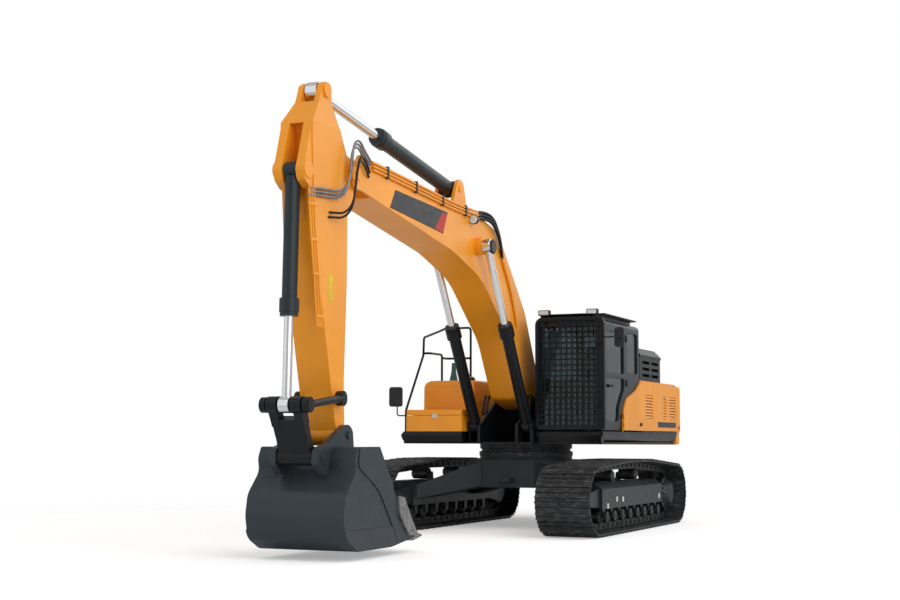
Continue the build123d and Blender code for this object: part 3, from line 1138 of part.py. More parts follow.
def make_bucket_teeth():
    """Cutting edge teeth on the lip, and the side cutters' notched plates on the side edges."""
    teeth = []
    for index in range(TOOTH_COUNT):
        y = (index - (TOOTH_COUNT - 1) / 2) * 2 * (BUCKET_HALF - BUCKET_PLATE - 61) / (TOOTH_COUNT - 1)
        rows = [(5330, lip_inside(5330) + SEAT), (5330, lip_inside(5330) + 26, 10),
                (5180, lip_inside(5180) + 34, 30),
                (4925, 190), (4920, 170), (5150, 130, 30), (5300, lip_outside(5300) - 24, 10),
                (5300, lip_outside(5300) - SEAT), (5179, lip_outside(5179) - SEAT),
                (5179, lip_inside(5179) + SEAT)]
        teeth.append(prism(rows, "y", y - 55, y + 55))
    cutter = [(5150, 190, 10), (5260, 290, 20), (5540, 640, 20), (5690, 660, 20), (5650, 430),
              (5400, 205, 60)]
    for side in (-1, 1):
        teeth.append(prism(cutter, "y", *facing(side, BUCKET_HALF + 12 + SEAT, BUCKET_HALF + 37)))
    return teeth


TOOTH_COUNT = 5


# ---------------------------------------------------------------- assembly

def build_nodes():
    """All nodes as name: list of shapes, about the slew axis."""
    half = GAUGE / 2
    boom_barrels, boom_rods = make_boom_cylinders()
    arm_barrel, arm_rod = make_arm_cylinder()
    bucket_barrel, bucket_rod = make_bucket_cylinder()
    return {
        "carbody": [make_carbody()],
        "slewing_ring": [make_slewing_ring()],
        "track_frame_left": [make_track_frame(half, 1)],
        "track_frame_right": [make_track_frame(-half, -1)],
        "track_left": [make_track(half)],
        "track_right": [make_track(-half)],
        "front_idlers": [make_idler(half), make_idler(-half)],
        "drive_sprockets": [make_sprocket(half, 1), make_sprocket(-half, -1)],
        "track_rollers": make_rollers(half, 1) + make_rollers(-half, -1),
        "revolving_frame": [make_revolving_frame()],
        "counterweight": [make_counterweight()],
        "engine_block": [make_engine()],
        "engine_hood": [make_engine_hood()],
        "bay_frame": make_bay_frame(),
        "exhaust_cowl": [make_exhaust_cowl()],
        "left_side_door": [make_left_side_door()],
        "right_side_door": [make_right_side_door()],
        "fuel_tank": [make_fuel_tank()],
        "hydraulic_tank": [make_hydraulic_tank()],
        "tool_box": [make_tool_box()],
        "tool_box_lid": [make_tool_box_lid()],
        "swing_motor": [make_swing_motor()],
        "control_valve": [make_control_valve()],
        "handrails": make_handrails(),
        "mirrors": make_mirrors(),
        "air_precleaner": [make_precleaner()],
        "cab_frame": [make_cab_frame()],
        "cab_glass": make_cab_glass(),
        "cab_door": [make_cab_door()],
        "cab_door_glass": make_cab_door_glass(),
        "operator_seat": [make_operator_seat()],
        "operator_controls": make_controls(),
        "front_guard": [make_front_guard()],
        "roof_guard": [make_roof_guard()],
        "boom": [make_boom()],
        "boom_cylinder_barrels": boom_barrels,
        "boom_cylinder_rods": boom_rods,
        "arm_cylinder_barrel": [arm_barrel],
        "arm_cylinder_rod": [arm_rod],
        "arm": [make_arm()],
        "bucket_cylinder_barrel": [bucket_barrel],
        "bucket_cylinder_rod": [bucket_rod],
        "bucket_rocker_arms": [make_rocker()],
        "bucket_h_link": [make_h_link()],
        "bucket": [make_bucket()],
        "bucket_teeth": make_bucket_teeth(),
    }


FRONT_X = CROSS[0] + 92.0   # foremost point: the link's cross-pin boss
ORIGIN_X = (FRONT_X + TAIL - 40.0) / 2

if __name__ == "__main__":
    os.makedirs("parts", exist_ok=True)
    for name, shapes in build_nodes().items():
        solids = [solid for shape in shapes for solid in shape.solids()]
        export_step(Pos(-ORIGIN_X, 0, 0) * Compound(children=solids), f"parts/{name}.step")
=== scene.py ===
"""Crawler excavator: finishes, fine detail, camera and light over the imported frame.

Lengths are metres along the frame's axes: +X forward, +Y to the operator's left, +Z up. The x of
detail is counted from the slew centre; Shell.build and hose carry it over to the frame's origin.
"""

import json
import logging
import math
from collections.abc import Sequence
from dataclasses import dataclass
from enum import Enum

import bpy
import numpy as np
from mathutils import Matrix, Vector


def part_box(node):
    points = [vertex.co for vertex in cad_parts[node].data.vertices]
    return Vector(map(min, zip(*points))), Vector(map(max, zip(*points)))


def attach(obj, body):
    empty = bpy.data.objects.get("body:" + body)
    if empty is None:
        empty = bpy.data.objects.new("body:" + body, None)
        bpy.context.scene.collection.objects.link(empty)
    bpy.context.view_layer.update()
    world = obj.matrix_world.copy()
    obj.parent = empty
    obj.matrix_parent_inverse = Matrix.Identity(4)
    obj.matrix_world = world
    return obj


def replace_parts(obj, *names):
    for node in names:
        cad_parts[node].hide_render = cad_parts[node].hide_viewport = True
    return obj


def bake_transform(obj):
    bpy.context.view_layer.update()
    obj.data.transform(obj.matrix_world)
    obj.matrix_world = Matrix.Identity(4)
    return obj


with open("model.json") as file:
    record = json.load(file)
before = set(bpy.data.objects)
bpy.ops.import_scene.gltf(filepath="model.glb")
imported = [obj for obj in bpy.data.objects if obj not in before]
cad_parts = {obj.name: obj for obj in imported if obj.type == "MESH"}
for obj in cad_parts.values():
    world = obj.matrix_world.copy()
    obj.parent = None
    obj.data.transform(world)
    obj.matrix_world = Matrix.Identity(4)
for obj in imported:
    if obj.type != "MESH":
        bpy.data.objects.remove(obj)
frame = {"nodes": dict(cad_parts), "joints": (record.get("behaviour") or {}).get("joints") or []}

log = logging.getLogger("excavator")

SLEW_X = next(joint["pos_m"][0] for joint in frame["joints"] if joint["name"] == "slew")
# How deep a blank plate sits in its face and how far it stands out, metres.
LABEL_SUNK, LABEL_PROUD = 0.001, 0.003
# The camera's sensor, millimetres.
SENSOR_WIDTH = 36.0

Socket = bpy.types.NodeSocket
Point = tuple[float, ...]
Points = Sequence[Point]
Box = tuple[float, float, float, float]
Colour = tuple[float, float, float]


# ---------------- finishes


def add_node(tree: bpy.types.NodeTree, kind: str, settings: dict | None = None,
             **inputs: object) -> bpy.types.Node:
    """Add a shader node.

    Args:
        tree: the node tree it joins.
        kind: node type without its "ShaderNode" prefix.
        settings: attributes to set on it.
        **inputs: values or sources, by socket name with underscores for spaces, or i and a number.

    Returns:
        The node.
    """
    made = tree.nodes.new("ShaderNode" + kind)
    for key, value in (settings or {}).items():
        setattr(made, key, value)
    for key, value in inputs.items():
        numbered = key[0] == "i" and key[1:].isdigit()
        socket = made.inputs[int(key[1:]) if numbered else key.replace("_", " ")]
        if isinstance(value, Socket):
            tree.links.new(value, socket)
        else:
            socket.default_value = value
    return made


class Weave:
    """Builder for one material's node tree."""

    def __init__(self, name: str) -> None:
        """Start a material with a Principled shader on Object coordinates.

        Args:
            name: the finish's name.
        """
        self.material = bpy.data.materials.new(f"finish_{name}")
        self.material.use_nodes = True
        self.tree = self.material.node_tree
        self.shader = self.tree.nodes["Principled BSDF"]
        self.place = self.tree.nodes.new("ShaderNodeTexCoord").outputs["Object"]

    def node(self, kind: str, settings: dict | None = None, **inputs: object) -> bpy.types.Node:
        """Add a node to this material, as add_node does."""
        return add_node(self.tree, kind, settings, **inputs)

    def noise(self, scale: float, detail: float,
              stretch: Point = (1, 1, 1)) -> Socket:
        """Fractal noise on Object coordinates.

        Args:
            scale: how many waves there are to a metre.
            detail: how many finer layers are added.
            stretch: factors on the coordinates; a small one draws the pattern out along its axis.

        Returns:
            A number between 0 and 1.
        """
        spot = self.place
        if stretch != (1, 1, 1):
            spot = self.node("Mapping", Vector=self.place, Scale=stretch).outputs["Vector"]
        return self.node("TexNoise", Vector=spot, Scale=scale, Detail=detail).outputs["Fac"]

    def ramp(self, source: Socket, low: float, high: float,
             start: float = 0.0, end: float = 1.0) -> Socket:
        """Map one range of a number to another, clamped.

        Args:
            source: the number.
            low: its value that gives start.
            high: its value that gives end.
            start: first end of the new range.
            end: its other end.

        Returns:
            The mapped number.
        """
        made = self.node("MapRange", {"clamp": True}, Value=source,
                         From_Min=low, From_Max=high, To_Min=start, To_Max=end)
        return made.outputs["Result"]

    def satin(self, scale: float, detail: float, low: float, high: float) -> None:
        """Let the roughness wander between low and high."""
        self.feed("Roughness", self.ramp(self.noise(scale, detail), 0.3, 0.7, low, high))

    def times(self, first: Socket, second: object) -> Socket:
        """Product of two numbers."""
        return self.node("Math", {"operation": "MULTIPLY"}, i0=first, i1=second).outputs["Value"]

    def mix(self, share: object, first: object, second: object) -> Socket:
        """Blend of two colours.

        Args:
            share: how much of the second there is, 0 to 1, or its source.
            first: a colour or its source.
            second: a colour or its source.

        Returns:
            The blended colour.
        """
        made = self.node("Mix", {"data_type": "RGBA"})
        for socket, value in ((made.inputs[0], share), (made.inputs[6], first), (made.inputs[7], second)):
            if isinstance(value, Socket):
                self.tree.links.new(value, socket)
            else:
                socket.default_value = (*value, 1.0) if isinstance(value, tuple) else value
        return made.outputs[2]

    def bump(self, height: Socket, strength: float, distance: float) -> None:
        """Feed a height to the shader's normal."""
        made = self.node("Bump", Height=height, Strength=strength, Distance=distance)
        self.tree.links.new(made.outputs["Normal"], self.shader.inputs["Normal"])

    def feed(self, socket: str, source: object) -> None:
        """Link a source to one of the shader's sockets, or set the socket's own value.

        Args:
            socket: the socket's name.
            source: another node's socket, a colour or a number.
        """
        if isinstance(source, Socket):
            self.tree.links.new(source, self.shader.inputs[socket])
        elif isinstance(source, tuple):
            self.shader.inputs[socket].default_value = (*source, 1.0)
        else:
            self.shader.inputs[socket].default_value = source


def shade(colour: Colour, factor: float) -> Colour:
    """The colour scaled by a factor."""
    return tuple(min(1.0, channel * factor) for channel in colour)


@dataclass(frozen=True)
class Paint:
    """Sprayed machine paint: faint orange peel, patchy sheen and settled dust on upward faces."""

    name: str
    colour: Colour
    roughness: float = 0.36
    coat: float = 0.10
    dust: float = 0.06
    dust_colour: Colour = (0.36, 0.33, 0.29)
    gloss: float = 0.35

    def material(self) -> bpy.types.Material:
        """Build the paint.

        Returns:
            Its material.
        """
        weave = Weave(self.name)
        patches = weave.noise(1.7, 4.0)
        body = weave.mix(weave.ramp(patches, 0.3, 0.7), shade(self.colour, 0.93), shade(self.colour, 1.05))
        normal = weave.node("NewGeometry").outputs["Normal"]
        up = weave.node("SeparateXYZ", Vector=normal).outputs["Z"]
        patchy = weave.ramp(weave.noise(5.0, 6.0), 0.35, 0.75, 0.25, 1.0)
        settled = weave.times(weave.ramp(up, 0.2, 1.0), patchy)
        weave.feed("Base Color", weave.mix(weave.times(settled, self.dust), body, self.dust_colour))
        weave.satin(11.0, 5.0, self.roughness - 0.05, self.roughness + 0.07)
        weave.feed("Coat Weight", self.coat)
        weave.feed("Specular IOR Level", self.gloss)
        weave.feed("Coat Roughness", 0.12)
        weave.bump(weave.noise(420.0, 2.0), strength=0.06, distance=0.0006)
        return weave.material


@dataclass(frozen=True)
class WornSteel:
    """Dark steel that dirt dulls and rubbing brightens."""

    name: str
    colour: Colour
    bright: Colour = (0.42, 0.41, 0.40)
    wear: float = 0.35
    roughness: float = 0.5
    metallic: float = 0.7

    def material(self) -> bpy.types.Material:
        """Build the steel.

        Returns:
            Its material.
        """
        weave = Weave(self.name)
        grime = weave.ramp(weave.noise(9.0, 7.0), 0.35, 0.7)
        base = weave.mix(grime, shade(self.colour, 0.75), shade(self.colour, 1.35))
        rubbed = weave.times(weave.ramp(weave.noise(34.0, 6.0, (1.0, 0.25, 1.0)), 0.5, 0.72), self.wear)
        weave.feed("Base Color", weave.mix(rubbed, base, self.bright))
        weave.feed("Metallic", self.metallic)
        weave.satin(21.0, 6.0, self.roughness - 0.1, self.roughness + 0.14)
        weave.bump(weave.noise(150.0, 5.0), strength=0.22, distance=0.0015)
        return weave.material


@dataclass(frozen=True)
class Chrome:
    """Polished hard chrome with faint lengthways wipe marks."""

    name: str
    colour: Colour = (0.82, 0.83, 0.84)

    def material(self) -> bpy.types.Material:
        """Build the chrome.

        Returns:
            Its material.
        """
        weave = Weave(self.name)
        cloudy = weave.ramp(weave.noise(14.0, 4.0), 0.3, 0.8)
        weave.feed("Base Color", weave.mix(cloudy, self.colour, shade(self.colour, 0.9)))
        weave.feed("Metallic", 1.0)
        wiped = weave.noise(40.0, 4.0, (0.2, 1.0, 0.2))
        weave.feed("Roughness", weave.ramp(wiped, 0.3, 0.7, 0.13, 0.24))
        return weave.material


@dataclass(frozen=True)
class Plastic:
    """Moulded plastic or rubber with a fine grain."""

    name: str
    colour: Colour
    roughness: float = 0.5
    grain: float = 700.0
    sheen: float = 0.0

    def material(self) -> bpy.types.Material:
        """Build the plastic.

        Returns:
            Its material.
        """
        weave = Weave(self.name)
        faded = weave.ramp(weave.noise(6.0, 5.0), 0.3, 0.75)
        weave.feed("Base Color", weave.mix(faded, shade(self.colour, 0.85), shade(self.colour, 1.2)))
        weave.satin(18.0, 4.0, self.roughness - 0.06, self.roughness + 0.08)
        weave.feed("Sheen Weight", self.sheen)
        weave.feed("Specular IOR Level", 0.25)
        weave.bump(weave.noise(self.grain, 2.0), strength=0.25, distance=0.0006)
        return weave.material


@dataclass(frozen=True)
class Glass:
    """Tinted safety glass."""

    name: str
    colour: Colour = (0.13, 0.18, 0.19)

    def material(self) -> bpy.types.Material:
        """Build the glass.

        Returns:
            Its material.
        """
        weave = Weave(self.name)
        weave.feed("Base Color", self.colour)
        weave.feed("Transmission Weight", 1.0)
        weave.feed("IOR", 1.5)
        weave.feed("Roughness", weave.ramp(weave.noise(7.0, 5.0), 0.4, 0.8, 0.0, 0.05))
        return weave.material


@dataclass(frozen=True)
class Fabric:
    """Woven seat cloth."""

    name: str
    colour: Colour

    def material(self) -> bpy.types.Material:
        """Build the cloth; warp and weft are two sets of fine waves.

        Returns:
            Its material.
        """
        weave = Weave(self.name)
        warp, weft = (
            weave.node("TexWave", {"bands_direction": axis}, Vector=weave.place, Scale=420.0).outputs["Fac"]
            for axis in "YZ")
        cloth = weave.node("Math", {"operation": "MAXIMUM"}, i0=warp, i1=weft).outputs["Value"]
        weave.feed("Base Color", weave.mix(cloth, shade(self.colour, 0.7), shade(self.colour, 1.4)))
        weave.feed("Roughness", 0.85)
        weave.feed("Sheen Weight", 0.3)
        weave.bump(cloth, strength=0.4, distance=0.001)
        return weave.material


FINISHES: dict[str, bpy.types.Material] = {}


class Look(Enum):
    """The machine's finishes."""

    ORANGE = Paint("orange_paint", (0.90, 0.33, 0.015))
    SLATE = Paint("slate_paint", (0.018, 0.028, 0.034), 0.36, 0.06, 0.02, gloss=0.26)
    BLACK = Paint("black_paint", (0.006, 0.007, 0.009), 0.34, 0.06, 0.02, gloss=0.22)
    BUCKET = Paint("bucket_paint", (0.026, 0.037, 0.047), 0.40, 0.06, 0.03, gloss=0.30)
    FRAME = Paint("undercarriage_paint", (0.022, 0.026, 0.029), 0.42, 0.04, 0.04, gloss=0.26)
    TRACK = WornSteel("track_steel", (0.045, 0.049, 0.052), wear=0.25)
    CAST = WornSteel("cast_steel", (0.040, 0.042, 0.045), wear=0.18)
    TOOTH = WornSteel("tooth_steel", (0.22, 0.22, 0.22), (0.55, 0.54, 0.52), 0.7)
    CHROME = Chrome("chrome_rod")
    GLASS = Glass("cab_glass")
    SEAT = Fabric("seat_cloth", (0.035, 0.036, 0.04))
    PLASTIC = Plastic("moulded_plastic", (0.022, 0.022, 0.024))
    TEAL = Plastic("precleaner_plastic", (0.05, 0.13, 0.13), 0.3)
    RUBBER = Plastic("hose_rubber", (0.010, 0.010, 0.011), 0.42, 500.0)
    WHITE = Plastic("white_mark", (0.62, 0.62, 0.60), 0.5)
    DARK = Plastic("blank_plate", (0.014, 0.016, 0.020), 0.32)
    RED = Plastic("red_strip", (0.45, 0.020, 0.018), 0.4)
    YELLOW = Plastic("blank_label", (0.72, 0.47, 0.02), 0.45)
    LENS = Plastic("lamp_lens", (0.70, 0.72, 0.74), 0.15)
    STEEL = WornSteel("plated_steel", (0.24, 0.24, 0.25), wear=0.3, roughness=0.4)

    def slot(self) -> bpy.types.Material:
        """Look the finish's material up, and build it the first time; packed ones are never used.

        Returns:
            The material.
        """
        if self.name not in FINISHES:
            FINISHES[self.name] = self.value.material()
        return FINISHES[self.name]


CAD_LOOKS: dict[str, Look] = {
    **dict.fromkeys(
        ("boom", "arm", "left_side_door", "right_side_door", "engine_hood", "bay_frame", "fuel_tank",
         "hydraulic_tank", "tool_box", "tool_box_lid", "counterweight"), Look.ORANGE),
    **dict.fromkeys(
        ("cab_frame", "cab_door", "arm_cylinder_barrel", "bucket_cylinder_barrel"), Look.SLATE),
    **dict.fromkeys(
        ("revolving_frame", "exhaust_cowl", "handrails", "front_guard", "roof_guard",
         "boom_cylinder_barrels", "bucket_rocker_arms", "bucket_h_link"), Look.BLACK),
    **dict.fromkeys(("carbody", "track_frame_left", "track_frame_right"), Look.FRAME),
    **dict.fromkeys(("track_left", "track_right"), Look.TRACK),
    **dict.fromkeys(
        ("slewing_ring", "front_idlers", "drive_sprockets", "track_rollers", "swing_motor", "control_valve",
         "engine_block"), Look.CAST),
    **dict.fromkeys(("boom_cylinder_rods", "arm_cylinder_rod", "bucket_cylinder_rod"), Look.CHROME),
    **dict.fromkeys(("cab_glass", "cab_door_glass"), Look.GLASS),
    "bucket": Look.BUCKET,
    "bucket_teeth": Look.TOOTH,
    "operator_seat": Look.SEAT,
    "operator_controls": Look.PLASTIC,
    "mirrors": Look.PLASTIC,
    "air_precleaner": Look.TEAL,
}


def dress_cad() -> None:
    """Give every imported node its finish."""
    for name, node in frame["nodes"].items():
        look = CAD_LOOKS[name]
        for slot in range(max(1, len(node.material_slots))):
            if not node.material_slots:
                node.data.materials.append(look.slot())
            else:
                node.material_slots[slot].material = look.slot()
        log.info("dressed %s as %s", name, look.name.lower())


# ---------------- meshes

ORIGIN = np.array((SLEW_X, 0.0, 0.0))


def unit(vector: np.ndarray) -> np.ndarray:
    """The vectors of an array's last axis at length one."""
    return vector / np.linalg.norm(vector, axis=-1, keepdims=True)


def slab(outline: Points, axis: str, low: float, high: float) -> np.ndarray:
    """Two rings of a flat plate.

    Args:
        outline: corners in the plate's plane, the machine's other two axes in x, y, z order.
        axis: the axis across the plate.
        low: first face along that axis, metres.
        high: second face.

    Returns:
        Rings of points, shape (2, corners, 3).
    """
    flat = np.array(outline, float)
    return np.array([np.insert(flat, "xyz".index(axis), place, axis=1) for place in (low, high)])


def rect(low: float, base: float, high: float, top: float) -> Points:
    """Corners of a rectangle, from two opposite ones."""
    return [(low, base), (high, base), (high, top), (low, top)]


def circle(centre: Point, radius: float, count: int) -> Points:
    """Places evenly spaced round a circle that faces along y.

    Args:
        centre: the circle's centre.
        radius: its radius, metres.
        count: how many places.

    Returns:
        Points at centre + radius (cosine, 0, sine) of each angle.
    """
    turn = np.linspace(0, 2 * np.pi, count, endpoint=False)
    x, y, z = centre
    return [(x + radius * math.cos(angle), y, z + radius * math.sin(angle)) for angle in turn]


def lathe(place: Point, axis: str, rows: Points, count: int = 24) -> np.ndarray:
    """Rings of a turned piece.

    Args:
        place: centre of the piece's foot.
        axis: its centre line.
        rows: distance along the axis and radius of each ring.
        count: points round a ring.

    Returns:
        Rings of points, shape (rows, count, 3).
    """
    angle = np.linspace(0, 2 * np.pi, count, endpoint=False)
    along, radius = np.array(rows, float).T
    one, two = radius[:, None] * np.cos(angle), radius[:, None] * np.sin(angle)
    line = np.repeat(along[:, None], count, axis=1)
    order = {"x": (line, one, two), "y": (two, line, one), "z": (one, two, line)}[axis]
    return np.stack(order, axis=-1) + np.array(place, float)


class Shell:
    """One mesh piece, put together from swept rings."""

    def __init__(self, name: str, look: Look) -> None:
        """Start an empty piece.

        Args:
            name: the piece's name.
            look: its finish.
        """
        self.name, self.look = name, look
        self.points: list[np.ndarray] = []
        self.faces: list[tuple[int, ...]] = []
        self.total = 0

    def sweep(self, rings: np.ndarray, places: np.ndarray | None = None) -> "Shell":
        """Add a closed skin over rings, once or at each place.

        Args:
            rings: points, shape (rings, corners, 3), metres from the slew centre.
            places: 4 by 4 matrices that place copies, or None for one as it lies.

        Returns:
            The piece.
        """
        count, corners = rings.shape[:2]
        centre = rings.reshape(-1, 3).mean(axis=0)
        ahead = np.roll(rings, -1, axis=1)
        cross = np.cross(ahead[:-1] - rings[:-1], rings[1:] - rings[:-1])
        if np.einsum("rci,rci->", cross, rings[:-1] - centre) < 0:
            rings = rings[:, ::-1]
        index = np.arange(count * corners).reshape(count, corners)
        after = np.roll(index, -1, axis=1)
        quads = np.stack([index[:-1], after[:-1], after[1:], index[1:]], axis=-1).reshape(-1, 4)
        flat = rings.reshape(-1, 3)
        for place in (np.eye(4)[None] if places is None else places):
            self.points.append(flat @ place[:3, :3].T + place[:3, 3])
            self.faces += [tuple(face) for face in (quads + self.total).tolist()]
            self.faces.append(tuple((index[0][::-1] + self.total).tolist()))
            self.faces.append(tuple((index[-1] + self.total).tolist()))
            self.total += count * corners
        return self

    def bolts(self, centres: Points, axis: str, radius: float, height: float) -> "Shell":
        """Add hexagon bolt heads on washers.

        Args:
            centres: foot of each head, metres from the slew centre.
            axis: the axis they stand along.
            radius: half the head's width over its corners, metres.
            height: height of head and washer, below 0 when they point the other way.

        Returns:
            The piece.
        """
        washer, lip = radius * 1.35, height * 0.2
        rows = [(0, washer), (lip, washer), (lip, radius), (height, radius)]
        for centre in centres:
            self.sweep(lathe(centre, axis, rows, 6))
        return self

    def label(self, outline: Points, side: int, face: float) -> "Shell":
        """Add a thin blank plate on a face of the machine's left (1) or right (-1) side."""
        near, far = side * (face - LABEL_SUNK), side * (face + LABEL_PROUD)
        return self.sweep(slab(outline, "y", near, far))

    def build(self, body: str, bevel: float = 0.0, angle: float = 35.0) -> bpy.types.Object:
        """Make the object and fix it to its body.

        Args:
            body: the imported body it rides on.
            bevel: width of rounded edges, metres, or 0 for none.
            angle: faces that meet more sharply than this keep a crisp edge, degrees.

        Returns:
            The object.
        """
        mesh = bpy.data.meshes.new(self.name)
        mesh.from_pydata((np.concatenate(self.points) + ORIGIN).tolist(), [], self.faces)
        mesh.materials.append(self.look.slot())
        mesh.shade_smooth()
        mesh.set_sharp_from_angle(angle=math.radians(angle))
        made = bpy.data.objects.new(self.name, mesh)
        bpy.context.scene.collection.objects.link(made)
        if bevel:
            rounder = made.modifiers.new("edges", "BEVEL")
            rounder.width, rounder.segments, rounder.limit_method = bevel, 2, "ANGLE"
        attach(made, body)
        log.info("built %s, %d faces, on %s", self.name, len(self.faces), body)
        return made


def hose(name: str, look: Look, route: Points, radius: float, body: str | None) -> bpy.types.Object:
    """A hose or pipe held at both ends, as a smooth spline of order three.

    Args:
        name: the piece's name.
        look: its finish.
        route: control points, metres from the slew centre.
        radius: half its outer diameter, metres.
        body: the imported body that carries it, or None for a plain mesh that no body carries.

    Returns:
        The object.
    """
    curve = bpy.data.curves.new(name, "CURVE")
    curve.dimensions, curve.bevel_depth, curve.bevel_resolution = "3D", radius, 3
    curve.use_fill_caps, curve.resolution_u = True, 6
    line = curve.splines.new("NURBS")
    line.points.add(len(route) - 1)
    for spot, point in zip(line.points, np.array(route) + ORIGIN):
        spot.co = (*point, 1.0)
    line.order_u, line.use_endpoint_u = 3, True
    made = bpy.data.objects.new(name, curve)
    curve.materials.append(look.slot())
    bpy.context.scene.collection.objects.link(made)
    if body is None:
        drawn = bpy.data.meshes.new_from_object(made)
        bpy.data.objects.remove(made)
        bpy.data.curves.remove(curve)
        made = bpy.data.objects.new(name, drawn)
        drawn.shade_smooth()
        bpy.context.scene.collection.objects.link(made)
        log.info("laid %s across a joint", name)
        return made
    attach(made, body)
    log.info("laid %s on %s", name, body)
    return made


# ---------------- undercarriage


@dataclass(frozen=True)
class TrackChain:
    """Triple-grouser shoes, their bolts, and the links and pins they stand on."""

    belt: Points = ((-2.005, 0.465, 0.423), (-0.490, 0.778, 0.200), (0.650, 0.778, 0.200),
                    (1.995, 0.475, 0.433))
    pitch: float = 0.216
    centre: float = 1.425
    width: float = 0.763
    sole: Points = ((0, 0), (0, .010), (.012, .013), (.020, .040), (.032, .040), (.040, .014),
                    (.086, .013), (.094, .036), (.106, .036), (.114, .013), (.160, .013),
                    (.168, .040), (.180, .040), (.190, .016), (.212, .008), (.212, 0))
    link: Points = ((-.035, -.010), (-.035, -.090), (-.020, -.108), (.150, -.108),
                    (.175, -.085), (.175, -.010))
    link_plates: Points = ((.040, .062), (.078, .105), (-.062, -.040), (-.105, -.078))
    pin_depth: float = 0.055
    pin_half: float = 0.118
    pin_radius: float = 0.024
    bolt_along: Point = (.062, .138)
    bolt_across: float = 0.072
    bolt_foot: float = 0.012
    bolt_radius: float = 0.017
    bolt_height: float = 0.013

    def stations(self) -> np.ndarray:
        """One matrix per shoe, round the belt.

        The belt is each circle's arc and the straight runs between circles. A run's outward normal is its
        heading, plus a quarter turn, plus the arcsine of the change of radius over the run.

        Returns:
            Matrices of shape (shoes, 4, 4): along the run, across the machine, outward.
        """
        circles = np.array(self.belt)
        step = np.roll(circles, -1, axis=0) - circles
        span = np.hypot(step[:, 0], step[:, 1])
        normal = np.arctan2(step[:, 1], step[:, 0]) + np.pi / 2 + np.arcsin(step[:, 2] / span)
        arcs = []
        for (x, z, radius), before, after in zip(circles, np.roll(normal, 1), normal):
            turn = np.linspace(before, before - (before - after) % (2 * np.pi), 60)
            arcs.append(np.stack([x + radius * np.cos(turn), z + radius * np.sin(turn)], axis=-1))
        line = np.concatenate([*arcs, arcs[0][:1]])
        length = np.concatenate([[0], np.cumsum(np.linalg.norm(np.diff(line, axis=0), axis=1))])
        count = round(length[-1] / self.pitch)
        marks = np.linspace(0, length[-1], count + 1)
        joints = np.stack([np.interp(marks, length, line[:, column]) for column in (0, 1)], axis=-1)
        run = unit(np.diff(joints, axis=0))
        places = np.zeros((count, 4, 4))
        places[:, 0, 0], places[:, 2, 0] = run[:, 0], run[:, 1]
        places[:, 1, 1] = places[:, 3, 3] = 1.0
        places[:, 0, 2], places[:, 2, 2] = -run[:, 1], run[:, 0]
        places[:, 0, 3], places[:, 2, 3] = joints[:-1, 0], joints[:-1, 1]
        return places

    def build(self) -> None:
        """Build both tracks in the place of their plain belts."""
        places = self.stations()
        for side, name in ((1, "left"), (-1, "right")):
            middle, half = side * self.centre, self.width / 2
            shoes = Shell(f"track_shoes_{name}", Look.TRACK)
            shoes.sweep(slab(self.sole, "y", middle - half, middle + half), places)
            stub = [(0, self.bolt_radius), (self.bolt_height, self.bolt_radius)]
            heads = [lathe((along, middle + across, self.bolt_foot), "z", stub, 6)
                     for along in self.bolt_along for across in (-self.bolt_across, self.bolt_across)]
            for head in heads:
                shoes.sweep(head, places)
            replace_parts(shoes.build("undercarriage"), f"track_{name}")
            chain = Shell(f"track_links_{name}", Look.CAST)
            for near, far in self.link_plates:
                chain.sweep(slab(self.link, "y", middle + near, middle + far), places)
            pin = [(-self.pin_half, self.pin_radius), (self.pin_half, self.pin_radius)]
            chain.sweep(lathe((0, middle, -self.pin_depth), "y", pin, 12), places)
            chain.build("undercarriage")


@dataclass(frozen=True)
class Undercarriage:
    """Roller caps, sprocket bolts and blank marks on the track frames."""

    centre: float = 1.425
    face: float = 0.226
    rollers: int = 8
    first: float = -1.34
    reach: float = 2.56
    roller_z: float = 0.237
    cap: Points = ((0, .075), (.034, .075), (.042, .055), (.042, .02))
    cap_sunk: float = 0.03
    cap_bolt: float = 0.052
    cap_bolt_foot: float = 0.004
    cap_bolt_size: Point = (.011, .014)
    sprocket: Point = (-2.005, 0.465)
    sprocket_face: float = 0.165
    bolt_ring: float = 0.20
    ring_bolts: int = 16
    ring_bolt_size: Point = (.013, .022)
    marks: Points = ((1.171, .385), (.754, .466), (.469, .455), (-1.406, .44))
    mark_half: float = 0.035

    def build(self) -> None:
        """Build the caps, the sprockets' bolts and the marks of both sides."""
        caps, marks = Shell("roller_caps", Look.CAST), Shell("frame_marks", Look.WHITE)
        face, half, shift = self.centre + self.face, self.mark_half, self.cap_bolt
        for side in (1, -1):
            out = side * face
            profile = [(side * along, radius) for along, radius in self.cap]
            for number in range(self.rollers):
                x = self.first + number * self.reach / (self.rollers - 1)
                caps.sweep(lathe((x, out - side * self.cap_sunk, self.roller_z), "y", profile))
                foot = out + side * self.cap_bolt_foot
                heads = [(spot, foot, self.roller_z) for spot in (x - shift, x + shift)]
                radius, height = self.cap_bolt_size
                caps.bolts(heads, "y", radius, side * height)
            hub = (self.sprocket[0], side * (self.centre + self.sprocket_face), self.sprocket[1])
            radius, height = self.ring_bolt_size
            caps.bolts(circle(hub, self.bolt_ring, self.ring_bolts), "y", radius, side * height)
            for x, z in self.marks:
                marks.label(rect(x - half, z - half, x + half, z + half), side, face)
        caps.build("undercarriage")
        marks.build("undercarriage")


# ---------------- upper works


@dataclass(frozen=True)
class Run:
    """Pipes or hoses side by side: name, finish, radius and the first one's route."""

    name: str
    look: Look
    radius: float
    route: Points


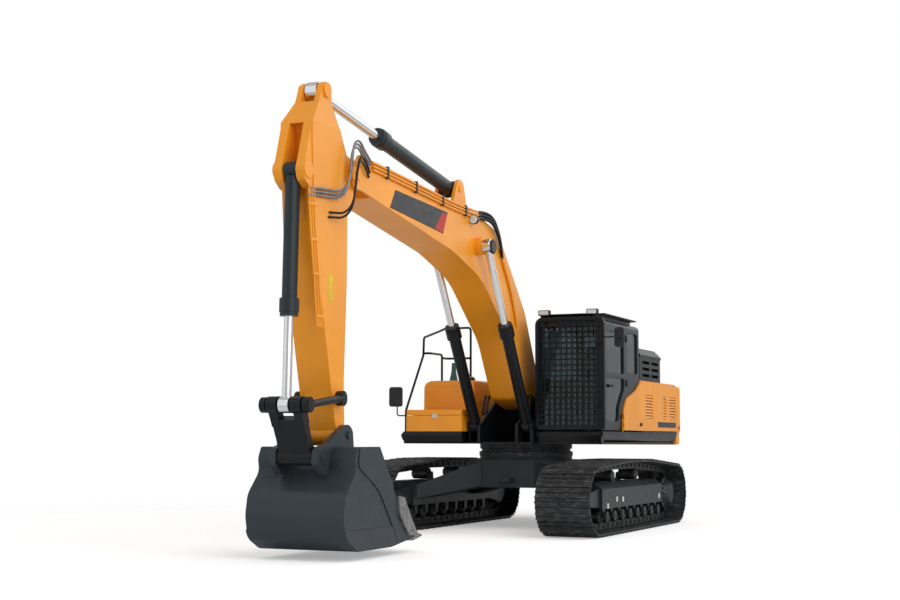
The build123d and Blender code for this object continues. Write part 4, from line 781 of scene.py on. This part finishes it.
@dataclass(frozen=True)
class BoomTrim:
    """Plate, strip, pin plates, rod caps, lamp, pipes and hoses of the boom."""

    half: float = 0.25
    proud: float = 0.004
    sunk: float = 0.002
    plate_corners: Points = ((5.036, 4.273), (3.495, 4.222), (3.636, 3.926), (5.182, 4.039))
    strip_corners: Points = ((3.677, 4.196), (3.511, 4.190), (3.640, 3.940), (3.901, 3.954))
    nose_pin: Point = (6.059, 4.302)
    nose_rows: Points = ((0, .115), (.016, .115), (.02, .108))
    nose_bolts: int = 6
    nose_ring: float = 0.085
    nose_bolt_foot: float = 0.018
    nose_bolt_size: Point = (.012, .014)
    pin_sunk: float = 0.004
    eye: float = 0.105
    eye_rows: Points = ((0, .100), (.012, .100), (.022, .088), (.022, .030))
    lamp: Point = (2.70, .31, 4.23)
    lamp_rows: Points = ((0, .04), (.02, .062), (.07, .066), (.075, .060))
    bracket_half: float = 0.015
    bracket_x: Point = (.015, .04)
    lens_ahead: float = 0.072
    lens_rows: Points = ((0, .058), (.006, .055), (.010, .030))
    lines: int = 3
    line_step: Point = (.012, .042)
    runs: tuple[Run, ...] = (
        Run("upper", Look.ORANGE, .017, ((5.70, .268, 4.492), (5.455, .268, 4.485), (4.774, .268, 4.448),
                                         (4.042, .268, 4.410), (3.253, .268, 4.365), (2.50, .268, 4.365))),
        Run("knee", Look.RUBBER, .021, ((2.52, .268, 4.365), (2.34, .285, 4.39), (2.05, .300, 4.36),
                                        (1.84, .300, 4.17), (1.70, .285, 3.98), (1.66, .268, 3.92))),
        Run("lower", Look.ORANGE, .017, ((1.68, .268, 3.94), (1.573, .268, 3.80), (1.36, .268, 3.55),
                                         (1.20, .268, 3.28), (1.08, .268, 3.00))))
    clamps: Points = ((5.30, 4.478), (4.50, 4.434), (3.70, 4.391), (2.95, 4.365))
    clamp_half: float = 0.02
    clamp_drop: float = 0.115
    clamp_rise: float = 0.030
    clamp_out: float = 0.042

    def plate(self, name: str, look: Look, corners: Points, lift: float = 0.0) -> None:
        """A thin blank plate on both sides of the boom.

        Args:
            name: the piece's name.
            look: its finish.
            corners: its outline in x and z, metres from the slew centre.
            lift: how much further out its face stands when it lies over another, metres.
        """
        made = Shell(name, look)
        for side in (1, -1):
            near, far = side * (self.half - self.sunk), side * (self.half + self.proud + lift)
            made.sweep(slab(corners, "y", near, far))
        made.build("boom", bevel=.0015)

    def pins(self) -> None:
        """Bolted plates over the nose pin, and caps on the boom cylinders' rod eyes."""
        bosses = Shell("boom_pin_plates", Look.ORANGE)
        x, z = self.nose_pin
        for side in (1, -1):
            face = side * (self.half - self.pin_sunk)
            profile = [(side * along, radius) for along, radius in self.nose_rows]
            bosses.sweep(lathe((x, face, z), "y", profile, 32))
            hub = (x, face + side * self.nose_bolt_foot, z)
            heads = circle(hub, self.nose_ring, self.nose_bolts)
            radius, height = self.nose_bolt_size
            bosses.bolts(heads, "y", radius, side * height)
        bosses.build("boom")
        low, high = (np.array(corner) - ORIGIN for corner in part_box("boom_cylinder_rods"))
        cap = Shell("boom_rod_eye_caps", Look.BLACK)
        for y, side in ((high[1], 1), (low[1], -1)):
            centre = (high[0] - self.eye, y - side * self.pin_sunk, high[2] - self.eye)
            cap.sweep(lathe(centre, "y", [(side * along, radius) for along, radius in self.eye_rows]))
        cap.build("boom_cylinder_rods")

    def work_lamp(self) -> None:
        """A round lamp on a short bracket, and its lens."""
        x, y, z = self.lamp
        lamp = Shell("boom_work_lamp", Look.BLACK)
        lamp.sweep(lathe(self.lamp, "x", self.lamp_rows))
        bracket = rect(self.half, z - self.bracket_half, y, z + self.bracket_half)
        near, far = self.bracket_x
        lamp.sweep(slab(bracket, "x", x + near, x + far))
        lamp.build("boom", bevel=.002)
        glow = Shell("boom_work_lamp_lens", Look.LENS)
        glow.sweep(lathe((x + self.lens_ahead, y, z), "x", self.lens_rows)).build("boom")

    def build(self) -> None:
        """Build every piece that rides on the boom, and the caps on its cylinders' rods."""
        self.plate("boom_plate", Look.DARK, self.plate_corners)
        self.plate("boom_strip", Look.RED, self.strip_corners, lift=.002)
        self.pins()
        self.work_lamp()
        back, down = self.line_step
        for run in self.runs:
            for number in range(self.lines):
                route = [(x - back * number, y, z - down * number) for x, y, z in run.route]
                hose(f"boom_{run.name}_line_{number + 1}", run.look, route, run.radius, "boom")
        clamps = Shell("boom_pipe_clamps", Look.DARK)
        for x, z in self.clamps:
            strap = rect(x - self.clamp_half, z - self.clamp_drop, x + self.clamp_half, z + self.clamp_rise)
            clamps.sweep(slab(strap, "y", self.half - self.sunk, self.half + self.clamp_out))
        clamps.build("boom", bevel=.004)


@dataclass(frozen=True)
class ArmTrim:
    """Hoses across the arm's hinge, and pipes, clamps and the blank label of the arm."""

    half: float = 0.20
    pipes: int = 3
    pipe_gap: float = 0.05
    pipe_radius: float = 0.013
    pipe_out: float = 0.014
    front: Points = ((7.075, 3.985), (7.037, 3.578), (6.965, 3.2), (6.90, 2.75), (6.86, 2.50))
    steel: Points = ((5.72, .268, 4.492), (5.90, .280, 4.58), (6.06, .290, 4.69),
                     (6.20, .290, 4.62), (6.22, .285, 4.36), (6.27, .270, 4.14),
                     (6.42, .240, 4.03), (6.75, .222, 4.02), (7.05, .214, 3.98))
    rubber: Points = ((5.74, .262, 4.36), (5.98, .320, 4.50), (6.17, .345, 4.46),
                      (6.23, .345, 4.18), (6.27, .335, 3.92), (6.40, .290, 3.79),
                      (6.55, .240, 3.78), (6.60, .195, 3.78))
    hose_ahead: float = 0.02
    clamps: Points = ((7.05, 3.80), (7.00, 3.42), (6.945, 3.05), (6.87, 2.60))
    clamp_span: Box = (-.14, 0, .02, .03)
    clamp_sunk: float = 0.002
    clamp_out: float = 0.030
    label: Box = (6.50, 2.80, 6.60, 3.10)

    def crossing(self, kind: str, look: Look, route: Points, count: int, drop: float) -> None:
        """Hoses from the boom's pipes to the arm, bent between the two bodies.

        Args:
            kind: the word in their names.
            look: their finish.
            route: the first one's control points.
            count: how many there are.
            drop: how far each lies below the one before, metres.
        """
        for number in range(count):
            lain = [(x + self.hose_ahead * number, y, z - drop * number) for x, y, z in route]
            made = hose(f"arm_{kind}_hose_{number + 1}", look, lain, self.pipe_radius, None)
            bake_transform(made)

    def build(self) -> None:
        """Build every piece of the arm."""
        for number in range(self.pipes):
            route = [(x - self.pipe_gap * number, self.half + self.pipe_out, z) for x, z in self.front]
            hose(f"arm_pipe_{number + 1}", Look.ORANGE, route, self.pipe_radius, "arm")
        self.crossing("steel", Look.STEEL, self.steel, count=3, drop=.042)
        self.crossing("rubber", Look.RUBBER, self.rubber, count=2, drop=.055)
        clamp = Shell("arm_clamps", Look.ORANGE)
        back, foot, ahead, rise = self.clamp_span
        for x, z in self.clamps:
            strap = rect(x + back, z + foot, x + ahead, z + rise)
            clamp.sweep(slab(strap, "y", self.half - self.clamp_sunk, self.half + self.clamp_out))
        clamp.build("arm", bevel=.003)
        label = Shell("arm_label", Look.YELLOW)
        label.label(rect(*self.label), 1, self.half).build("arm", bevel=.001)


@dataclass(frozen=True)
class HouseTrim:
    """Blank side label, latches, reflectors and filler caps of the house."""

    side: float = 1.5
    label: Box = (-3.00, 1.490, -1.93, 1.575)
    latch: Box = (-1.03, 1.50, -.93, 1.55)
    latch_out: float = 0.012
    keyhole: Point = (-.98, 1.526)
    key_foot: float = 0.011
    reflector: Box = (-3.24, 1.46, -3.14, 1.52)
    tank_top: float = 2.174
    key_rows: Points = ((0, .014), (.006, .014), (.008, .008))
    fuel_place: Point = (.42, -.72)
    oil_place: Point = (-.60, -.80)
    fuel_cap: Points = ((0, .062), (.03, .062), (.036, .055), (.042, .050))
    oil_cap: Points = ((0, .055), (.028, .055), (.034, .045))
    box_latch: Box = (-.98, 1.60, -.90, 1.66)
    box_latch_x: Point = (1.240, 1.252)

    def build(self) -> None:
        """Build the trim, each piece on the body that carries it."""
        face = self.side
        label = Shell("side_label", Look.DARK)
        label.label(rect(*self.label), 1, face).build("left_side_door", bevel=.001)
        latch = Shell("side_door_latches", Look.BLACK)
        latch.sweep(slab(rect(*self.latch), "y", face - LABEL_SUNK, face + self.latch_out))
        x, z = self.keyhole
        latch.sweep(lathe((x, face + self.key_foot, z), "y", self.key_rows))
        latch.build("left_side_door", bevel=.003)
        for name, side in (("left", 1), ("right", -1)):
            reflector = Shell(f"rear_reflector_{name}", Look.RED)
            reflector.label(rect(*self.reflector), side, face).build("house", bevel=.001)
        for name, look, place, rows in (("fuel_filler", Look.BLACK, self.fuel_place, self.fuel_cap),
                                        ("hydraulic_filler", Look.TEAL, self.oil_place, self.oil_cap)):
            cap = Shell(name, look)
            cap.sweep(lathe((*place, self.tank_top), "z", rows)).build("house")
        lock = Shell("tool_box_latch", Look.WHITE)
        lock.sweep(slab(rect(*self.box_latch), "x", *self.box_latch_x)).build("house", bevel=.003)


@dataclass(frozen=True)
class BoomFootHoses:
    """Hoses that rise beside the boom's foot, with a plated collar part way up each."""

    spread: tuple[float, ...] = (-.36, -.30, .30, .36)
    rise: Points = ((.62, 1.30), (.70, 1.46), (.80, 1.62), (.82, 1.80), (.70, 1.93))
    radius: float = 0.019
    collar: Point = (.80, 1.60)
    collar_half: float = 0.04
    collar_radius: float = 0.026

    def build(self) -> None:
        """Build the hoses and collars on the house."""
        collars = Shell("boom_foot_collars", Look.STEEL)
        sleeve = [(-self.collar_half, self.collar_radius), (self.collar_half, self.collar_radius)]
        for number, y in enumerate(self.spread):
            route = [(x, y, z) for x, z in self.rise]
            hose(f"boom_foot_hose_{number + 1}", Look.RUBBER, route, self.radius, "house")
            collars.sweep(lathe((self.collar[0], y, self.collar[1]), "z", sleeve, 12))
        collars.build("house", bevel=.002)


@dataclass(frozen=True)
class CabTrim:
    """Two roof lights, the antenna and the door handle of the cab."""

    lights: Points = ((.551, .719), (1.277, 1.44))
    light_z: Point = (3.066, 3.146)
    case_x: Point = (.86, .948)
    lens_x: Point = (.946, .953)
    rim: Point = (.014, .012)
    mast_foot: Point = (-.30, 1.232, 2.95)
    mast: Points = ((0, .012), (.02, .012), (.03, .004), (.22, .0025))
    handle: Box = (.34, 2.05, .46, 2.09)
    handle_y: Point = (1.474, 1.496)

    def build(self) -> None:
        """Build the trim, each piece on the body that carries it."""
        (base, top), (rim_y, rim_z) = self.light_z, self.rim
        for number, (low, high) in enumerate(self.lights):
            case = Shell(f"roof_light_{number + 1}", Look.BLACK)
            case.sweep(slab(rect(low, base, high, top), "x", *self.case_x)).build("house", bevel=.008)
            lens = Shell(f"roof_light_lens_{number + 1}", Look.LENS)
            inner = rect(low + rim_y, base + rim_z, high - rim_y, top - rim_z)
            lens.sweep(slab(inner, "x", *self.lens_x)).build("house", bevel=.004)
        Shell("antenna", Look.BLACK).sweep(lathe(self.mast_foot, "z", self.mast, 12)).build("house")
        handle = Shell("cab_door_handle", Look.BLACK)
        handle.sweep(slab(rect(*self.handle), "y", *self.handle_y)).build("cab_door", bevel=.006)


def signed_power(value: np.ndarray, share: float) -> np.ndarray:
    """The size of each value raised to a power, with the value's own sign."""
    return np.sign(value) * np.abs(value) ** share


@dataclass(frozen=True)
class Cushion:
    """One pad: name, middle from the seat box's front and foot, half sizes, and lean in degrees."""

    name: str
    behind: float
    above: float
    half: Point
    lean: float


@dataclass(frozen=True)
class Seat:
    """Sprung base and three cushions, in the space of the plain seat."""

    seam: float = 0.10
    seams: tuple[float, ...] = (-.45, .45)
    seam_width: float = 0.06
    pull: float = 0.12
    plan_share: float = 0.4
    side_share: float = 0.55
    grid: tuple[int, int] = (25, 64)
    pole: float = 0.04
    pads: tuple[Cushion, ...] = (
        Cushion("seat_cushion", .265, .315, (.255, .24, .062), 0.0),
        Cushion("seat_backrest", .535, .66, (.29, .23, .055), 99.0),
        Cushion("seat_headrest", .60, 1.045, (.085, .12, .045), 99.0))
    base_behind: float = 0.27
    steps: Points = ((.20, .19, 0, .08), (.15, .15, .078, .25))

    def cushion(self, pad: Cushion, centre: Point) -> None:
        """A stuffed pad.

        The pad is (|x/a|^5 + |y/b|^5)^(8/11) + |z/c|^(40/11) = 1. Its thickness dips along two sewn lines
        and falls towards the corners, and it is then leant back about the cross axis.

        Args:
            pad: its name, half sizes and lean.
            centre: its middle, metres in the frame's axes.
        """
        polar = np.linspace(self.pole, np.pi - self.pole, self.grid[0])[:, None]
        around = np.linspace(0, 2 * np.pi, self.grid[1], endpoint=False)[None, :]
        half = pad.half
        ring = signed_power(np.sin(polar), self.side_share)
        x = half[0] * ring * signed_power(np.cos(around), self.plan_share)
        y = half[1] * ring * signed_power(np.sin(around), self.plan_share)
        z = half[2] * signed_power(np.cos(polar), self.side_share) * np.ones_like(around)
        dip = sum(np.exp(-((y / half[1] - place) / self.seam_width) ** 2) for place in self.seams)
        corner = self.pull * (x / half[0]) ** 4 + self.pull * (y / half[1]) ** 4
        z = z * (1 - self.seam * dip) * (1 - corner)
        cosine, sine = math.cos(math.radians(pad.lean)), math.sin(math.radians(pad.lean))
        spots = np.stack([x * cosine - z * sine, y, x * sine + z * cosine], -1)
        shell = Shell(pad.name, Look.SEAT).sweep(spots + np.array(centre) - ORIGIN)
        made = shell.build("house", angle=60.0)
        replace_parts(made, "operator_seat")

    def build(self) -> None:
        """Build the seat inside the box of the plain one."""
        low, high = (np.array(corner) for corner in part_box("operator_seat"))
        middle, front, foot = (low[1] + high[1]) / 2, high[0], low[2]
        for pad in self.pads:
            self.cushion(pad, (front - pad.behind, middle, foot + pad.above))
        base = Shell("seat_base", Look.PLASTIC)
        x = front - self.base_behind - SLEW_X
        for half_x, half_y, low_z, high_z in self.steps:
            block = rect(x - half_x, middle - half_y, x + half_x, middle + half_y)
            base.sweep(slab(block, "z", foot + low_z, foot + high_z))
        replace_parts(base.build("house", bevel=.012), "operator_seat")


# ---------------- studio


@dataclass(frozen=True)
class Studio:
    """Camera, lamps, world and floor."""

    eye: Point = (20.551 + SLEW_X, 7.818, 1.298)
    yaw: float = 203.82
    pitch: float = 5.464
    roll: float = 0.136
    lens: float = 58.17
    ambient: float = 0.50
    aim: Point = (0.5, 0.0, 1.5)
    lamps: tuple[tuple, ...] = (("key", (12.0, 19.0, 15.0), 26.0, 3700.0),
                                ("fill", (16.0, -14.0, 10.0), 26.0, 800.0),
                                ("rim", (-14.0, 8.0, 14.0), 22.0, 1100.0))
    floor_reach: float = 60.0
    floor_fade: Point = (6.0, 14.0)
    floor_lift: float = 0.35
    floor_colour: Point = (0.86, 0.86, 0.86, 1)
    floor_drop: float = 0.002

    def camera(self) -> None:
        """Stand the camera: it looks along yaw and pitch, rolled about that line."""
        yaw, pitch, roll = (math.radians(angle) for angle in (self.yaw, self.pitch, self.roll))
        look = Vector((math.cos(yaw) * math.cos(pitch), math.sin(yaw) * math.cos(pitch), math.sin(pitch)))
        right = Vector((math.sin(yaw), -math.cos(yaw), 0.0))
        up = right.cross(look)
        cosine, sine = math.cos(roll), math.sin(roll)
        right, up = right * cosine + up * sine, up * cosine - right * sine
        camera = bpy.data.objects.new("camera", bpy.data.cameras.new("camera"))
        bpy.context.scene.collection.objects.link(camera)
        camera.data.lens = self.lens
        camera.data.sensor_width = SENSOR_WIDTH
        camera.data.clip_end = 400.0
        turned = Matrix((right, up, -look)).transposed().to_4x4()
        camera.matrix_world = Matrix.Translation(self.eye) @ turned
        bpy.context.scene.camera = camera

    def lamp(self, name: str, place: Point, size: float, power: float) -> None:
        """Hang a square soft lamp aimed at the machine's middle.

        Args:
            name: the lamp's name.
            place: its middle, metres in the frame's axes.
            size: its side, metres.
            power: its power, watts.
        """
        lamp = bpy.data.lights.new(name, "AREA")
        lamp.shape, lamp.size, lamp.energy = "SQUARE", size, power
        holder = bpy.data.objects.new(name, lamp)
        bpy.context.scene.collection.objects.link(holder)
        aim = Vector(self.aim) - Vector(place)
        turned = aim.to_track_quat("-Z", "Y").to_matrix().to_4x4()
        holder.matrix_world = Matrix.Translation(place) @ turned

    def world(self) -> None:
        """White backdrop to the camera and to rays through glass; a plain soft light to the rest,
        reflections included.
        """
        world = bpy.data.worlds.new("studio")
        bpy.context.scene.world = world
        world.use_nodes = True
        tree = world.node_tree
        path = add_node(tree, "LightPath").outputs
        seen = add_node(tree, "Math", {"operation": "MAXIMUM"},
                        i0=path["Is Camera Ray"], i1=path["Is Transmission Ray"])
        level = add_node(tree, "MapRange", Value=seen.outputs["Value"], To_Min=self.ambient, To_Max=1.0)
        back = tree.nodes["Background"]
        back.inputs["Color"].default_value = (1, 1, 1, 1)
        tree.links.new(level.outputs["Result"], back.inputs["Strength"])

    def floor(self) -> None:
        """Pale floor that keeps the machine's shadow and fades into the white backdrop."""
        mesh = bpy.data.meshes.new("floor")
        reach = self.floor_reach
        corners = [(x, y, 0) for x, y in rect(-reach, -reach, reach, reach)]
        mesh.from_pydata(corners, [], [(0, 1, 2, 3)])
        floor = bpy.data.objects.new("floor", mesh)
        floor.location.z = -self.floor_drop
        bpy.context.scene.collection.objects.link(floor)
        material = bpy.data.materials.new("floor")
        material.use_nodes = True
        tree = material.node_tree
        shader = tree.nodes["Principled BSDF"]
        for socket, value in (("Base Color", self.floor_colour), ("Roughness", 1.0),
                              ("Specular IOR Level", 0.0), ("Emission Color", (1, 1, 1, 1))):
            shader.inputs[socket].default_value = value
        ray = add_node(tree, "LightPath").outputs["Is Camera Ray"]
        lift = add_node(tree, "Math", {"operation": "MULTIPLY"}, i0=ray, i1=self.floor_lift)
        tree.links.new(lift.outputs["Value"], shader.inputs["Emission Strength"])
        spot = add_node(tree, "TexCoord").outputs["Object"]
        distance = add_node(tree, "VectorMath", {"operation": "LENGTH"}, i0=spot).outputs["Value"]
        low, high = self.floor_fade
        fade = add_node(tree, "MapRange", {"interpolation_type": "SMOOTHSTEP"},
                        Value=distance, From_Min=low, From_Max=high)
        clear = add_node(tree, "BsdfTransparent").outputs[0]
        blend = add_node(tree, "MixShader", i0=fade.outputs["Result"], i1=shader.outputs[0], i2=clear)
        tree.links.new(blend.outputs[0], tree.nodes["Material Output"].inputs["Surface"])
        mesh.materials.append(material)

    def build(self) -> None:
        """Set the whole studio."""
        bpy.context.scene.view_settings.view_transform = "Standard"
        self.camera()
        self.world()
        for lamp in self.lamps:
            self.lamp(*lamp)
        self.floor()
        log.info("studio set")


def main() -> None:
    """Build the machine piece by piece."""
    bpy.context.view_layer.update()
    Studio().build()
    dress_cad()
    for part in (TrackChain(), Undercarriage(), BoomTrim(), ArmTrim(), HouseTrim(), BoomFootHoses(),
                 CabTrim(), Seat()):
        part.build()


if __name__ == "__main__":
    logging.basicConfig(level=logging.INFO, format="%(name)s %(message)s")
    main()
